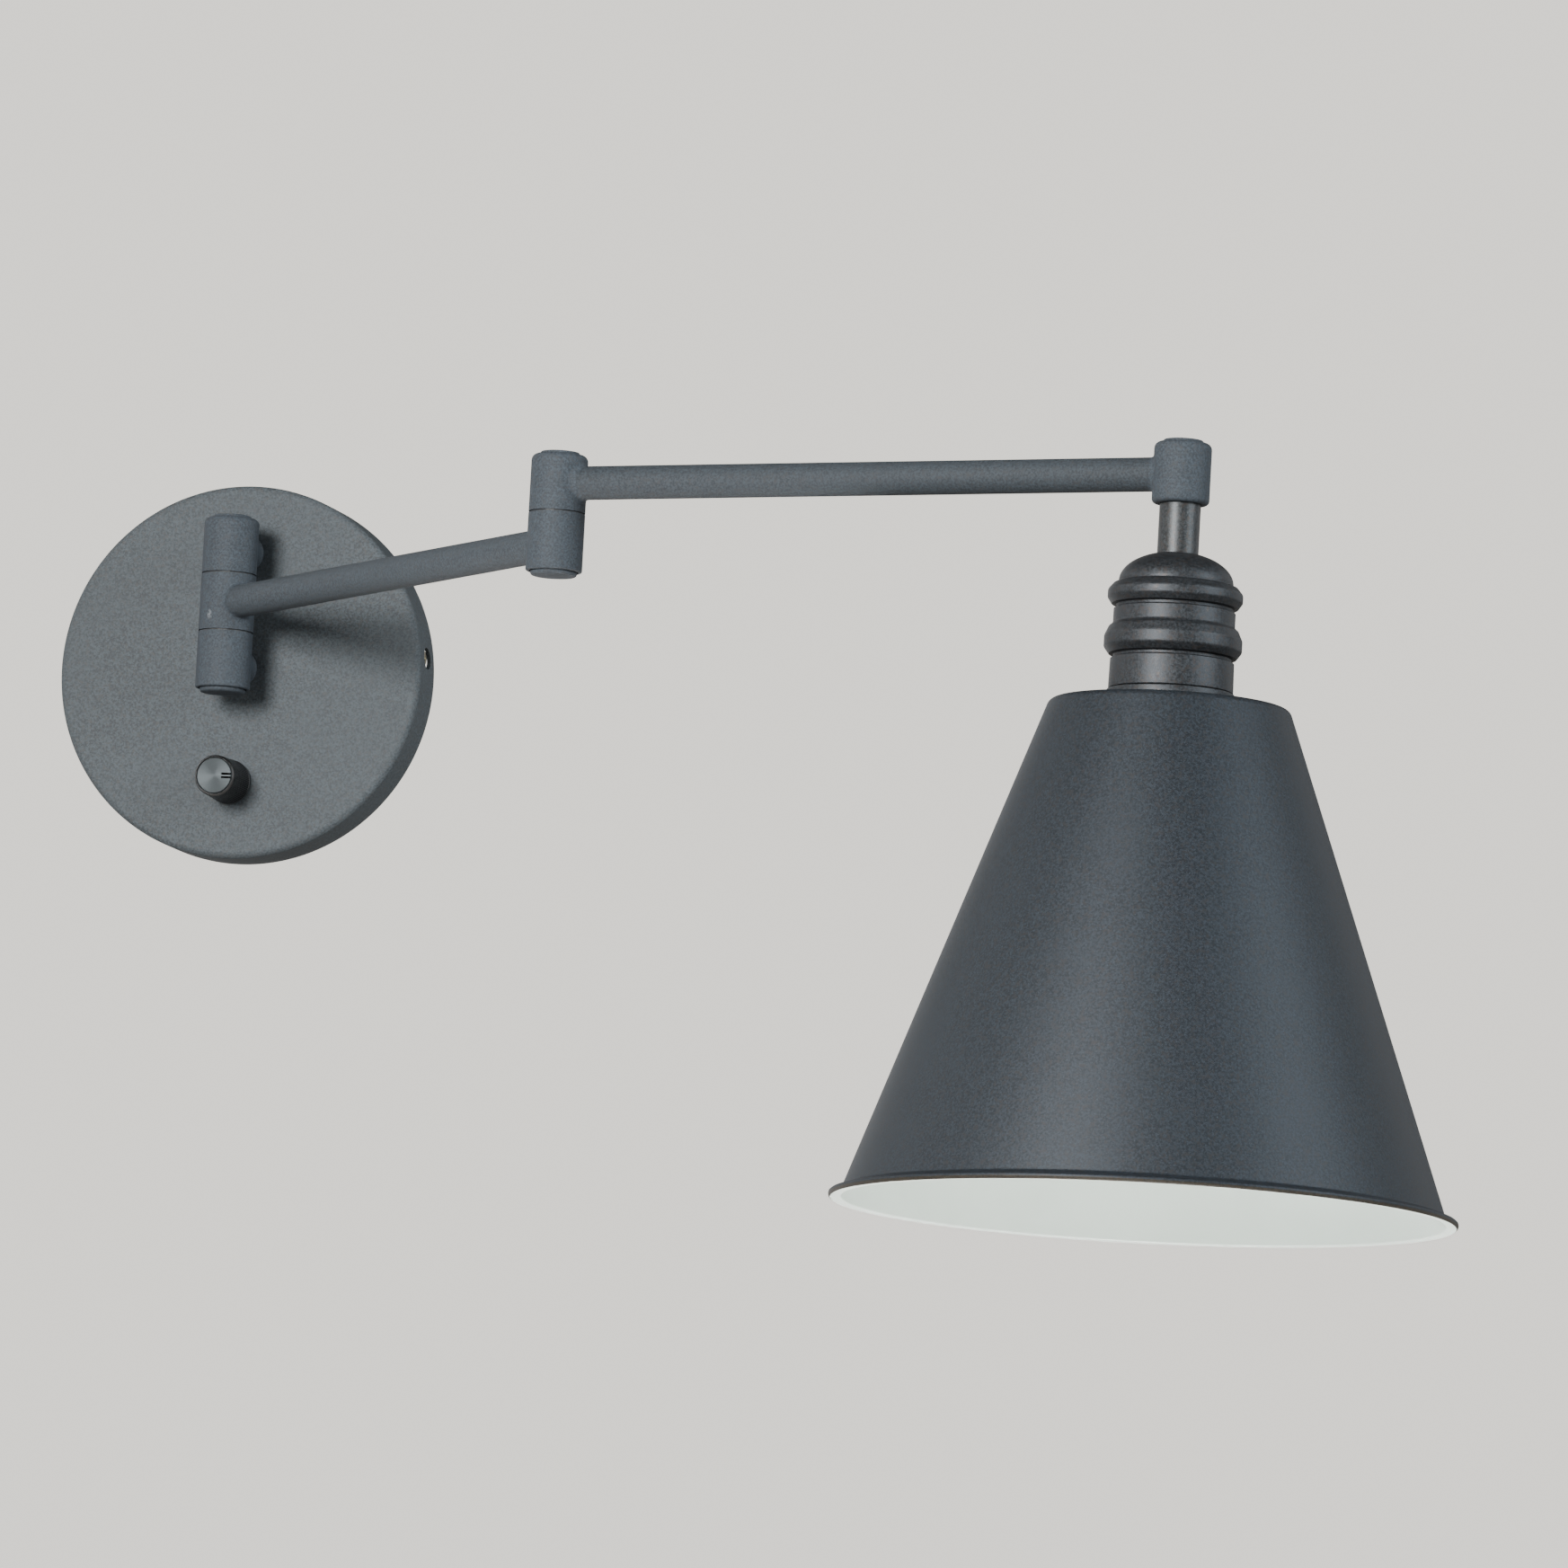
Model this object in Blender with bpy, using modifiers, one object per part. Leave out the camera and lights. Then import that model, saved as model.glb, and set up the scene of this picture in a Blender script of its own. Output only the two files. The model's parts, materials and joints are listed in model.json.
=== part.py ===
"""Swing arm wall sconce: a round canopy with a dimmer, two level swing arms, a socket cup and a cone shade.

Frame: the origin is the middle of the canopy's back, on the wall. +Z is up, +X runs along the wall and -Y
points into the room. All sizes are in metres. Each empty marks a joint and carries what turns about it.
"""

import math

import bmesh
import bpy
from mathutils import Vector

OBJECT_NAME = "swing_arm_wall_sconce"

# Clearances between separate pieces.
GAP = 0.0002
RUNNING = 0.00015

# Canopy and the strap that carries it.
CANOPY_RADIUS = 0.060
CANOPY_DEPTH = 0.0163
CANOPY_EDGE = 0.0023
CANOPY_WALL = 0.0012
STRAP_THICKNESS = 0.002
STRAP_HALF_HEIGHT = 0.010
STRAP_REACH = 0.0556
STRAP_TAB = 0.0125
STRAP_SLOT_X = 0.0395
STRAP_SLOT_LENGTH = 0.012
STRAP_SLOT_WIDTH = 0.0044
SIDE_SCREW_Z = 0.0065
SIDE_SCREW_Y = -0.0077
SIDE_HOLE_RADIUS = 0.0035

# Knuckles: every hinge is a stack of round lugs on a hollow pivot.
LUG_RADIUS = 0.00872
LUG_HEIGHT = 0.0178
LUG_EDGE = 0.0027
LUG_RIM = 0.0008
SEAM = 0.0007
WASHER_THICKNESS = 0.0003
WASHER_RADIUS = 0.0083
PIVOT_RADIUS = 0.0048
PIVOT_BORE = 0.0032
CAP_RADIUS = 0.0060
CAP_PROUD = 0.0007
CAP_SEAT = 0.0022
PLUG_RADIUS = 0.00725
PLUG_PROUD = 0.0016
PLUG_SEAT = 0.0025
SPIGOT = 0.0040
END_SPIGOT = 0.0015
POST_RADIUS = 0.0056
STUD_RADIUS = 0.0042
STUD_END_Y = -0.0085
WIRE_BORE = 0.0026

# Arms.
ARM_LENGTH = 0.211
ARM_RADIUS = 0.00518
ARM_BORE = 0.0040
ARM_1_HEADING = math.radians(-44.6)
ARM_2_HEADING = math.radians(-11.3)
WALL_PIVOT_Y = -0.0334
ARM_1_Z = 0.0194
ARM_2_Z = ARM_1_Z + LUG_HEIGHT + SEAM
LOWER_LUG_Z = ARM_1_Z - LUG_HEIGHT - SEAM
SOCKET_START = 0.0061
END_WEB_LOW = ARM_2_Z - LUG_HEIGHT / 2 + 0.0034
END_WEB_HIGH = END_WEB_LOW + 0.0030

# Stem, cup and lampholder.
STEM_RADIUS = 0.00625
STEM_BORE = 0.0034
DOME_TOP = 0.0132
DOME_BASE = 0.0046
DOME_RADIUS = 0.0173
CUP_RADIUS = 0.01885
CUP_BOTTOM = -0.0283
CUP_WALL = 0.0014
UPPER_RING = 0.0203
LOWER_RING = 0.02085
COLLAR_RADIUS = 0.0193
HOLDER_RADIUS = 0.0153
HOLDER_TOP = -0.001
HOLDER_BOTTOM = -0.052
HOLDER_BORE = 0.0139
THREAD_RADIUS = 0.0133
THREAD_PITCH = 0.0036

# Shade.
SHADE_TOP = -0.0323
SHADE_SHOULDER = 0.0362
SHADE_SHOULDER_EDGE = 0.0028
SHADE_CONE_END = (0.0903, -0.1823)
SHADE_RIM_RADIUS = 0.0945
SHADE_BOTTOM = -0.1861
SHADE_WALL = 0.0012

# Dimmer and knob.
KNOB_X = -0.0010
KNOB_Z = -0.0357
KNOB_BASE_RADIUS = 0.0071
KNOB_NOSE_RADIUS = 0.0066
KNOB_FACE_RADIUS = 0.0058
KNOB_BACK = 0.0169
KNOB_FRONT = 0.0335
KNOB_HOLLOW_RADIUS = 0.0060
KNOB_HOLLOW_END = 0.0218
SHAFT_RADIUS = 0.0030
SHAFT_START = 0.0086
SHAFT_END = 0.0295
DIMMER_RADIUS = 0.0085
DIMMER_BACK = 0.0058
DIMMER_FLOOR = 0.0080
BUSHING_RADIUS = 0.0036
BUSHING_PROUD = 0.0048
DIMMER_NUT_WIDTH = 0.0108
DIMMER_NUT_HEIGHT = 0.0020

# Screws, nuts and washers.
STUD_NUT_WIDTH = 0.0138
STUD_NUT_HEIGHT = 0.0036
STUD_WASHER_RADIUS = 0.0072
STUD_WASHER_THICKNESS = 0.0008
END_NUT_WIDTH = 0.0119
END_NUT_HEIGHT = 0.0030
CUP_NUT_WIDTH = 0.0160
CUP_NUT_HEIGHT = 0.0034
SIDE_SCREW_HEAD = (0.0029, 0.0021)
SIDE_SCREW_SHANK = (0.0019, 0.0090)
SIDE_SCREW_DEPTH = 0.0026
EARTH_SCREW_HEAD = (0.0034, 0.0022)
EARTH_SCREW_SHANK = (0.0017, 0.0018)
EARTH_X = 0.018
EARTH_Z = 0.011
SCREW_TAP_RADIUS = 0.0021
SCREW_SLOT = 0.0008

# Leads.
MAIN_LEAD_RADIUS = 0.0013
THIN_LEAD_RADIUS = 0.0011
STEM_LEAD_RADIUS = 0.0015

FINE = 44
MEDIUM = 28
COARSE = 20
SMALL = 12


# --- Scene, materials and shared builders ---


def clear_scene():
    for item in list(bpy.data.objects):
        bpy.data.objects.remove(item, do_unlink=True)


def new_collection(name):
    made = bpy.data.collections.new(name)
    bpy.context.scene.collection.children.link(made)
    return made


def new_material(name, colour, roughness, metallic):
    made = bpy.data.materials.new(name)
    made.use_nodes = True
    shader = made.node_tree.nodes["Principled BSDF"]
    shader.inputs["Base Color"].default_value = (*colour, 1.0)
    shader.inputs["Roughness"].default_value = roughness
    shader.inputs["Metallic"].default_value = metallic
    return made


clear_scene()
PARTS = new_collection(OBJECT_NAME)
CUTTERS = new_collection("cutters")

CHARCOAL = new_material("charcoal_powder_coat", (0.125, 0.15, 0.165), 0.6, 0.2)
GUNMETAL = new_material("satin_gunmetal", (0.07, 0.08, 0.085), 0.45, 0.4)
WHITE = new_material("white_enamel", (0.75, 0.78, 0.75), 0.4, 0.0)
STEEL = new_material("zinc_plated_steel", (0.55, 0.56, 0.57), 0.35, 1.0)
BRASS = new_material("brass", (0.72, 0.55, 0.25), 0.3, 1.0)
BLACK = new_material("black_plastic", (0.015, 0.016, 0.018), 0.45, 0.0)
ALUMINIUM = new_material("spun_aluminium", (0.45, 0.47, 0.49), 0.35, 1.0)
NYLON = new_material("nylon", (0.6, 0.6, 0.56), 0.5, 0.0)
LEAD = new_material("lead_insulation", (0.03, 0.03, 0.03), 0.5, 0.0)
GREEN = new_material("earth_green", (0.03, 0.25, 0.06), 0.4, 0.0)


def new_empty(name, location, heading, parent=None):
    empty = bpy.data.objects.new(name, None)
    PARTS.objects.link(empty)
    empty.parent = parent
    empty.location = location
    empty.rotation_euler = (0.0, 0.0, heading)
    empty.empty_display_size = 0.02
    return empty


def add_object(name, data, material, parent, location=(0, 0, 0), rotation=(0, 0, 0)):
    made = bpy.data.objects.new(name, data)
    PARTS.objects.link(made)
    made.parent = parent
    made.location = location
    made.rotation_euler = rotation
    data.materials.append(material)
    return made


def profile_mesh(name, points, closed):
    """A profile in the XZ half-plane, as loose edges for a Screw modifier."""
    mesh = bpy.data.meshes.new(name)
    edges = [(i, i + 1) for i in range(len(points) - 1)]
    if closed:
        edges.append((len(points) - 1, 0))
    mesh.from_pydata([(r, 0.0, z) for r, z in points], edges, [])
    return mesh


def turned(name, points, material, parent, steps=MEDIUM, closed=True, **place):
    """A turned piece. Points run down the outer side, and a closed profile comes back up its bore."""
    made = add_object(name, profile_mesh(name, points, closed), material, parent, **place)
    screw = made.modifiers.new("turn", "SCREW")
    screw.axis = "Z"
    screw.angle = math.tau
    screw.steps = steps
    screw.render_steps = steps
    screw.use_merge_vertices = True
    screw.merge_threshold = 0.00001
    screw.use_smooth_shade = True
    return made


def arc(centre_r, centre_z, radius_r, radius_z, start, end, count):
    """Points on an elliptic arc, with its angles in degrees from +X."""
    found = []
    for i in range(count + 1):
        angle = math.radians(start + (end - start) * i / count)
        found.append((centre_r + radius_r * math.cos(angle), centre_z + radius_z * math.sin(angle)))
    return found


def cutter_cylinder(name, radius, start, end, parent, segments=SMALL):
    """A hidden cylinder between two points of the parent's frame, which a Boolean takes away."""
    start, end = Vector(start), Vector(end)
    mesh = bpy.data.meshes.new(name)
    form = bmesh.new()
    bmesh.ops.create_cone(
        form,
        cap_ends=True,
        segments=segments,
        radius1=radius,
        radius2=radius,
        depth=(end - start).length,
    )
    form.to_mesh(mesh)
    form.free()
    return place_cutter(name, mesh, (start + end) / 2, (end - start).to_track_quat("Z", "Y"), parent)


def cutter_box(name, low, high, parent):
    low, high = Vector(low), Vector(high)
    mesh = bpy.data.meshes.new(name)
    form = bmesh.new()
    bmesh.ops.create_cube(form, size=1.0)
    bmesh.ops.scale(form, vec=high - low, verts=form.verts)
    form.to_mesh(mesh)
    form.free()
    return place_cutter(name, mesh, (low + high) / 2, None, parent)


def place_cutter(name, mesh, centre, turn, parent):
    made = bpy.data.objects.new(name, mesh)
    CUTTERS.objects.link(made)
    made.parent = parent
    made.location = centre
    if turn:
        made.rotation_mode = "QUATERNION"
        made.rotation_quaternion = turn
    made.hide_render = True
    made.display_type = "WIRE"
    return made


def boolean(target, other, operation="DIFFERENCE"):
    step = target.modifiers.new(other.name, "BOOLEAN")
    step.operation = operation
    step.object = other
    step.solver = "EXACT"


def hex_nut(name, across_corners, height, bore, material, parent, location, rotation=(0, 0, 0)):
    """A hexagonal nut that stands on its location, along its own +Z."""
    mesh = bpy.data.meshes.new(name)
    form = bmesh.new()
    bmesh.ops.create_cone(
        form,
        cap_ends=True,
        segments=6,
        radius1=across_corners / 2,
        radius2=across_corners / 2,
        depth=height,
    )
    bmesh.ops.translate(form, vec=(0, 0, height / 2), verts=form.verts)
    form.to_mesh(mesh)
    form.free()
    made = add_object(name, mesh, material, parent, location=location, rotation=rotation)
    hole = cutter_cylinder(name + "_hole", bore, (0, 0, -height), (0, 0, 2 * height), made)
    boolean(made, hole)
    return made


def ring(name, outer, inner, top, bottom, material, parent, steps=COARSE, **place):
    return turned(
        name,
        [(outer, top), (outer, bottom), (inner, bottom), (inner, top)],
        material,
        parent,
        steps,
        **place,
    )


def smooth_route(points, pieces=3):
    """Points on a Catmull-Rom curve through the given ones."""
    held = [Vector(p) for p in points]
    held = [2 * held[0] - held[1], *held, 2 * held[-1] - held[-2]]
    found = []
    for a, b, c, d in zip(held, held[1:], held[2:], held[3:]):
        for i in range(pieces):
            t = i / pieces
            square, cube = 2 * a - 5 * b + 4 * c - d, 3 * b - a - 3 * c + d
            found.append(b + 0.5 * ((c - a) * t + square * t**2 + cube * t**3))
    found.append(held[-2])
    return found


def lead(name, route, radius, material, parent):
    """An insulated lead along a smooth route."""
    curve = bpy.data.curves.new(name, "CURVE")
    curve.dimensions = "3D"
    curve.bevel_depth = radius
    curve.bevel_resolution = 2
    curve.use_fill_caps = True
    points = smooth_route(route)
    spline = curve.splines.new("POLY")
    spline.points.add(len(points) - 1)
    for knot, place in zip(spline.points, points):
        knot.co = (*place, 1.0)
    return add_object(name, curve, material, parent)


# --- Knuckles ---


def lug_profile(middle, top, bottom):
    """A lug's closed profile. Its ends are plain, or take the flush cap above or the plug below."""
    high, low = middle + LUG_HEIGHT / 2, middle - LUG_HEIGHT / 2
    bore = PIVOT_RADIUS + RUNNING
    if top == "cap":
        points = arc(LUG_RADIUS - LUG_EDGE, high - LUG_EDGE, LUG_EDGE, LUG_EDGE, 90, 0, 3)
        inside_top = [(bore, high - CAP_SEAT), (CAP_RADIUS + GAP, high - CAP_SEAT), (CAP_RADIUS + GAP, high)]
    else:
        points = [(LUG_RADIUS, high)]
        inside_top = [(bore, high)]
    if bottom == "plug":
        points += arc(LUG_RADIUS - LUG_RIM, low + LUG_RIM, LUG_RIM, LUG_RIM, 0, -90, 2)
        seat = PLUG_RADIUS + GAP
        points += [(seat, low), (seat, low + PLUG_SEAT), (bore, low + PLUG_SEAT)]
    else:
        points += [(LUG_RADIUS, low), (bore, low)]
    return points + inside_top


def add_lug(name, parent, middle, top="plain", bottom="plain", x=0.0):
    return turned(name, lug_profile(middle, top, bottom), CHARCOAL, parent, COARSE, location=(x, 0, 0))


def add_cap(name, parent, top, x=0.0, spigot=SPIGOT):
    """The flush cap on a knuckle: a thin button with a spigot below."""
    crown, seat = top + CAP_PROUD, top - CAP_SEAT + GAP
    foot, inner = seat - spigot, PIVOT_BORE - GAP
    edge = CAP_PROUD * 0.8
    points = [(0.0, crown)]
    points += arc(CAP_RADIUS - edge, crown - edge, edge, edge, 90, 0, 2)
    points += [(CAP_RADIUS, seat), (inner, seat), (inner, foot), (0.0, foot)]
    return turned(name, points, CHARCOAL, parent, COARSE, closed=False, location=(x, 0, 0))


def add_plug(name, parent, bottom, x=0.0):
    """The plug below a knuckle: a button with a rounded edge, standing a little below the rim."""
    crown, seat = bottom - PLUG_PROUD, bottom + PLUG_SEAT - GAP
    head, inner = seat + SPIGOT, PIVOT_BORE - GAP
    edge = PLUG_PROUD * 0.7
    points = [(0.0, head), (inner, head), (inner, seat), (PLUG_RADIUS, seat)]
    points += arc(PLUG_RADIUS - edge, crown + edge, edge, edge, 0, -90, 3)
    points += [(0.0, crown)]
    return turned(name, points, CHARCOAL, parent, COARSE, closed=False, location=(x, 0, 0))


def add_pivot(name, parent, bottom, top, x=0.0):
    """The hollow threaded pivot through a knuckle, which the leads pass through."""
    low, high = bottom + PLUG_SEAT, top - CAP_SEAT
    points = [(PIVOT_RADIUS, high), (PIVOT_RADIUS, low), (PIVOT_BORE, low), (PIVOT_BORE, high)]
    return turned(name, points, BRASS, parent, COARSE, location=(x, 0, 0))


def add_seam_washer(name, parent, below, x=0.0):
    """The thin friction washer in the seam above a lug whose top is at below."""
    low = below + (SEAM - WASHER_THICKNESS) / 2
    inner = PIVOT_RADIUS + RUNNING
    return ring(name, WASHER_RADIUS, inner, low + WASHER_THICKNESS, low, NYLON, parent, location=(x, 0, 0))


def add_arm_tube(name, parent, height):
    """A straight tube along the parent's +X, whose ends sit in the sockets of two lugs."""
    length = ARM_LENGTH - 2 * SOCKET_START
    points = [(ARM_RADIUS, length), (ARM_RADIUS, 0.0), (ARM_BORE, 0.0), (ARM_BORE, length)]
    place = {"location": (SOCKET_START, 0, height), "rotation": (0, math.pi / 2, 0)}
    return turned(name, points, CHARCOAL, parent, COARSE, **place)


def cut_socket(lug, parent, height, side, x=0.0):
    """The round hole in a lug that takes an arm tube's end; side is +1 or -1 along the arm."""
    start = (x + side * (SOCKET_START - GAP), 0, height)
    end = (x + side * 2 * LUG_RADIUS, 0, height)
    boolean(lug, cutter_cylinder(lug.name + "_socket", ARM_RADIUS + GAP, start, end, parent, COARSE))
    start = (x + side * PIVOT_BORE, 0, height)
    end = (x + side * (SOCKET_START + GAP), 0, height)
    boolean(lug, cutter_cylinder(lug.name + "_wire_hole", WIRE_BORE, start, end, parent))


# --- Wall side ---


def build_canopy(root):
    """The pressed canopy: a shallow drum with a rounded front edge, open to the wall."""
    flat = CANOPY_RADIUS - CANOPY_EDGE
    points = [(0.0, CANOPY_DEPTH)]
    points += arc(flat, CANOPY_DEPTH - CANOPY_EDGE, CANOPY_EDGE, CANOPY_EDGE, 90, 0, 3)
    points += [(CANOPY_RADIUS, 0.0)]
    turn = (math.pi / 2, 0, 0)
    canopy = turned("canopy", points, CHARCOAL, root, FINE, closed=False, rotation=turn)
    shell = canopy.modifiers.new("wall", "SOLIDIFY")
    shell.thickness = CANOPY_WALL
    shell.offset = -1.0
    shell.use_even_offset = True
    front, inside = -CANOPY_DEPTH - 0.01, -CANOPY_DEPTH + 0.01
    holes = [
        ("upper_stud", STUD_RADIUS + GAP, 0.0, ARM_2_Z),
        ("lower_stud", STUD_RADIUS + GAP, 0.0, LOWER_LUG_Z),
        ("dimmer", BUSHING_RADIUS + 0.0003, KNOB_X, KNOB_Z),
    ]
    for name, radius, x, z in holes:
        boolean(canopy, cutter_cylinder(f"canopy_{name}_hole", radius, (x, front, z), (x, inside, z), root))
    for name, side in (("left", -1), ("right", 1)):
        start = (side * (CANOPY_RADIUS - 0.01), SIDE_SCREW_Y, SIDE_SCREW_Z)
        end = (side * (CANOPY_RADIUS + 0.01), SIDE_SCREW_Y, SIDE_SCREW_Z)
        boolean(canopy, cutter_cylinder(f"canopy_{name}_hole", SIDE_HOLE_RADIUS, start, end, root))


def build_strap(root):
    """The mounting strap: a flat bar on the wall with two ends bent forward for the canopy's side screws."""
    reach, tab, thick = STRAP_REACH, STRAP_TAB, STRAP_THICKNESS
    outline = [
        (-reach, 0.0),
        (-reach, -tab),
        (-reach + thick, -tab),
        (-reach + thick, -thick),
        (reach - thick, -thick),
        (reach - thick, -tab),
        (reach, -tab),
        (reach, 0.0),
    ]
    curve = bpy.data.curves.new("mounting_strap", "CURVE")
    curve.dimensions = "2D"
    curve.fill_mode = "BOTH"
    curve.extrude = STRAP_HALF_HEIGHT
    spline = curve.splines.new("POLY")
    spline.points.add(len(outline) - 1)
    spline.use_cyclic_u = True
    for knot, (x, y) in zip(spline.points, outline):
        knot.co = (x, y, 0.0, 1.0)
    drawn = add_object("strap_outline", curve, STEEL, root, location=(0, 0, SIDE_SCREW_Z))
    strap = solid_from_curve("mounting_strap", drawn)
    for name, side in (("left", -1), ("right", 1)):
        start = (side * (reach - 0.01), SIDE_SCREW_Y, SIDE_SCREW_Z)
        end = (side * (reach + 0.01), SIDE_SCREW_Y, SIDE_SCREW_Z)
        boolean(strap, cutter_cylinder(f"strap_{name}_tap", SCREW_TAP_RADIUS, start, end, root))
        centre = side * STRAP_SLOT_X
        low = (centre - STRAP_SLOT_LENGTH / 2, -0.01, SIDE_SCREW_Z - STRAP_SLOT_WIDTH / 2)
        high = (centre + STRAP_SLOT_LENGTH / 2, 0.01, SIDE_SCREW_Z + STRAP_SLOT_WIDTH / 2)
        boolean(strap, cutter_box(f"strap_{name}_slot", low, high, root))
    start, end = (EARTH_X, -0.01, EARTH_Z), (EARTH_X, 0.01, EARTH_Z)
    boolean(strap, cutter_cylinder("strap_earth_tap", SCREW_TAP_RADIUS, start, end, root))


def solid_from_curve(name, drawn):
    """Makes a filled curve into a mesh object, so that Booleans can cut it, and removes the curve."""
    bpy.context.view_layer.update()
    graph = bpy.context.evaluated_depsgraph_get()
    mesh = bpy.data.meshes.new_from_object(drawn.evaluated_get(graph))
    mesh.name = name
    form = bmesh.new()
    form.from_mesh(mesh)
    bmesh.ops.remove_doubles(form, verts=form.verts, dist=0.00001)
    bmesh.ops.recalc_face_normals(form, faces=form.faces)
    form.to_mesh(mesh)
    form.free()
    made = bpy.data.objects.new(name, mesh)
    PARTS.objects.link(made)
    made.parent = drawn.parent
    made.matrix_world = drawn.matrix_world
    bpy.data.objects.remove(drawn, do_unlink=True)
    return made


def pan_screw(name, head, shank, material, parent, location, rotation):
    """A slotted pan-head screw: the head stands on +Z of its location and the shank runs down -Z."""
    head_radius, head_height = head
    shank_radius, shank_length = shank
    edge = head_height * 0.45
    points = [(0.0, head_height)]
    points += arc(head_radius - edge, head_height - edge, edge, edge, 90, 0, 3)
    points += [(head_radius, 0.0), (shank_radius, 0.0), (shank_radius, -shank_length), (0.0, -shank_length)]
    made = turned(
        name, points, material, parent, SMALL, closed=False, location=location, rotation=rotation
    )
    slot = cutter_box(
        name + "_slot",
        (-2 * head_radius, -SCREW_SLOT / 2, head_height * 0.6),
        (2 * head_radius, SCREW_SLOT / 2, 2 * head_height),
        made,
    )
    boolean(made, slot)
    return made


def build_screws(root):
    for name, side in (("left", -1), ("right", 1)):
        place = (side * (CANOPY_RADIUS - SIDE_SCREW_DEPTH), SIDE_SCREW_Y, SIDE_SCREW_Z)
        turn = (0, side * math.pi / 2, 0)
        pan_screw(f"canopy_screw_{name}", SIDE_SCREW_HEAD, SIDE_SCREW_SHANK, STEEL, root, place, turn)
    place = (EARTH_X, -STRAP_THICKNESS - GAP, EARTH_Z)
    turn = (math.pi / 2, 0, 0)
    pan_screw("earth_screw", EARTH_SCREW_HEAD, EARTH_SCREW_SHANK, GREEN, root, place, turn)


def build_wall_lugs(root):
    """The two fixed lugs. Each is one casting with its post and the stud that passes through the canopy."""
    stack_top = ARM_2_Z + LUG_HEIGHT / 2
    stack_bottom = LOWER_LUG_Z - LUG_HEIGHT / 2
    knuckle = bpy.data.objects["wall_pivot_axis"]
    back = -WALL_PIVOT_Y
    face = back - CANOPY_DEPTH - GAP
    stud_end = back + STUD_END_Y
    lugs = (("upper", ARM_2_Z, ("cap", "plain")), ("lower", LOWER_LUG_Z, ("plain", "plug")))
    for name, middle, ends in lugs:
        lug = add_lug(f"wall_lug_{name}", knuckle, middle, *ends)
        inner = PIVOT_RADIUS + 0.001
        start, end = (0, inner, middle), (0, face, middle)
        post = cutter_cylinder(f"{name}_post", POST_RADIUS, start, end, knuckle, COARSE)
        boolean(lug, post, "UNION")
        start, end = (0, face - 0.003, middle), (0, stud_end, middle)
        stud = cutter_cylinder(f"{name}_stud", STUD_RADIUS, start, end, knuckle)
        boolean(lug, stud, "UNION")
        start, end = (0, 0.002, middle), (0, 0.04, middle)
        bore = cutter_cylinder(f"{name}_wire_bore", WIRE_BORE, start, end, knuckle)
        boolean(lug, bore)
        washer_back = -CANOPY_DEPTH + CANOPY_WALL + GAP + STUD_WASHER_THICKNESS
        ring(
            f"stud_washer_{name}",
            STUD_WASHER_RADIUS,
            STUD_RADIUS + GAP,
            STUD_WASHER_THICKNESS,
            0.0,
            STEEL,
            root,
            SMALL,
            location=(0, washer_back, middle),
            rotation=(math.pi / 2, 0, 0),
        )
        hex_nut(
            f"stud_nut_{name}",
            STUD_NUT_WIDTH,
            STUD_NUT_HEIGHT,
            STUD_RADIUS + GAP,
            STEEL,
            root,
            (0, washer_back + GAP, middle),
            (-math.pi / 2, 0, 0),
        )
    pivot = add_pivot("wall_pivot_tube", knuckle, stack_bottom, stack_top)
    low, high = (-0.004, -0.006, ARM_1_Z - 0.0045), (0.004, 0, ARM_1_Z + 0.0045)
    window = cutter_box("wall_pivot_window", low, high, knuckle)
    boolean(pivot, window)
    start, end = (0, 0.001, LOWER_LUG_Z), (0, 0.01, LOWER_LUG_Z)
    entry = cutter_cylinder("wall_pivot_entry", WIRE_BORE - GAP, start, end, knuckle)
    boolean(pivot, entry)
    add_cap("wall_cap", knuckle, stack_top)
    add_plug("wall_plug", knuckle, stack_bottom)
    add_seam_washer("wall_washer_upper", knuckle, ARM_1_Z + LUG_HEIGHT / 2)
    add_seam_washer("wall_washer_lower", knuckle, LOWER_LUG_Z + LUG_HEIGHT / 2)


def build_dimmer(root):
    """The rotary dimmer on the canopy's face: its case is inside, its bushing and shaft come through."""
    front = CANOPY_DEPTH - CANOPY_WALL - GAP
    place = {"location": (KNOB_X, 0, KNOB_Z), "rotation": (math.pi / 2, 0, 0)}
    bore, nose = SHAFT_RADIUS + RUNNING, CANOPY_DEPTH + BUSHING_PROUD
    points = [
        (0.0, DIMMER_FLOOR),
        (bore, DIMMER_FLOOR),
        (bore, nose),
        (BUSHING_RADIUS, nose),
        (BUSHING_RADIUS, front),
        (DIMMER_RADIUS, front),
        (DIMMER_RADIUS, DIMMER_BACK),
        (0.0, DIMMER_BACK),
    ]
    turned("dimmer_case", points, BLACK, root, COARSE, closed=False, **place)
    nut_seat = CANOPY_DEPTH + GAP
    hex_nut(
        "dimmer_nut",
        DIMMER_NUT_WIDTH,
        DIMMER_NUT_HEIGHT,
        BUSHING_RADIUS + GAP,
        STEEL,
        root,
        (KNOB_X, -nut_seat, KNOB_Z),
        (math.pi / 2, 0, 0),
    )


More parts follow.
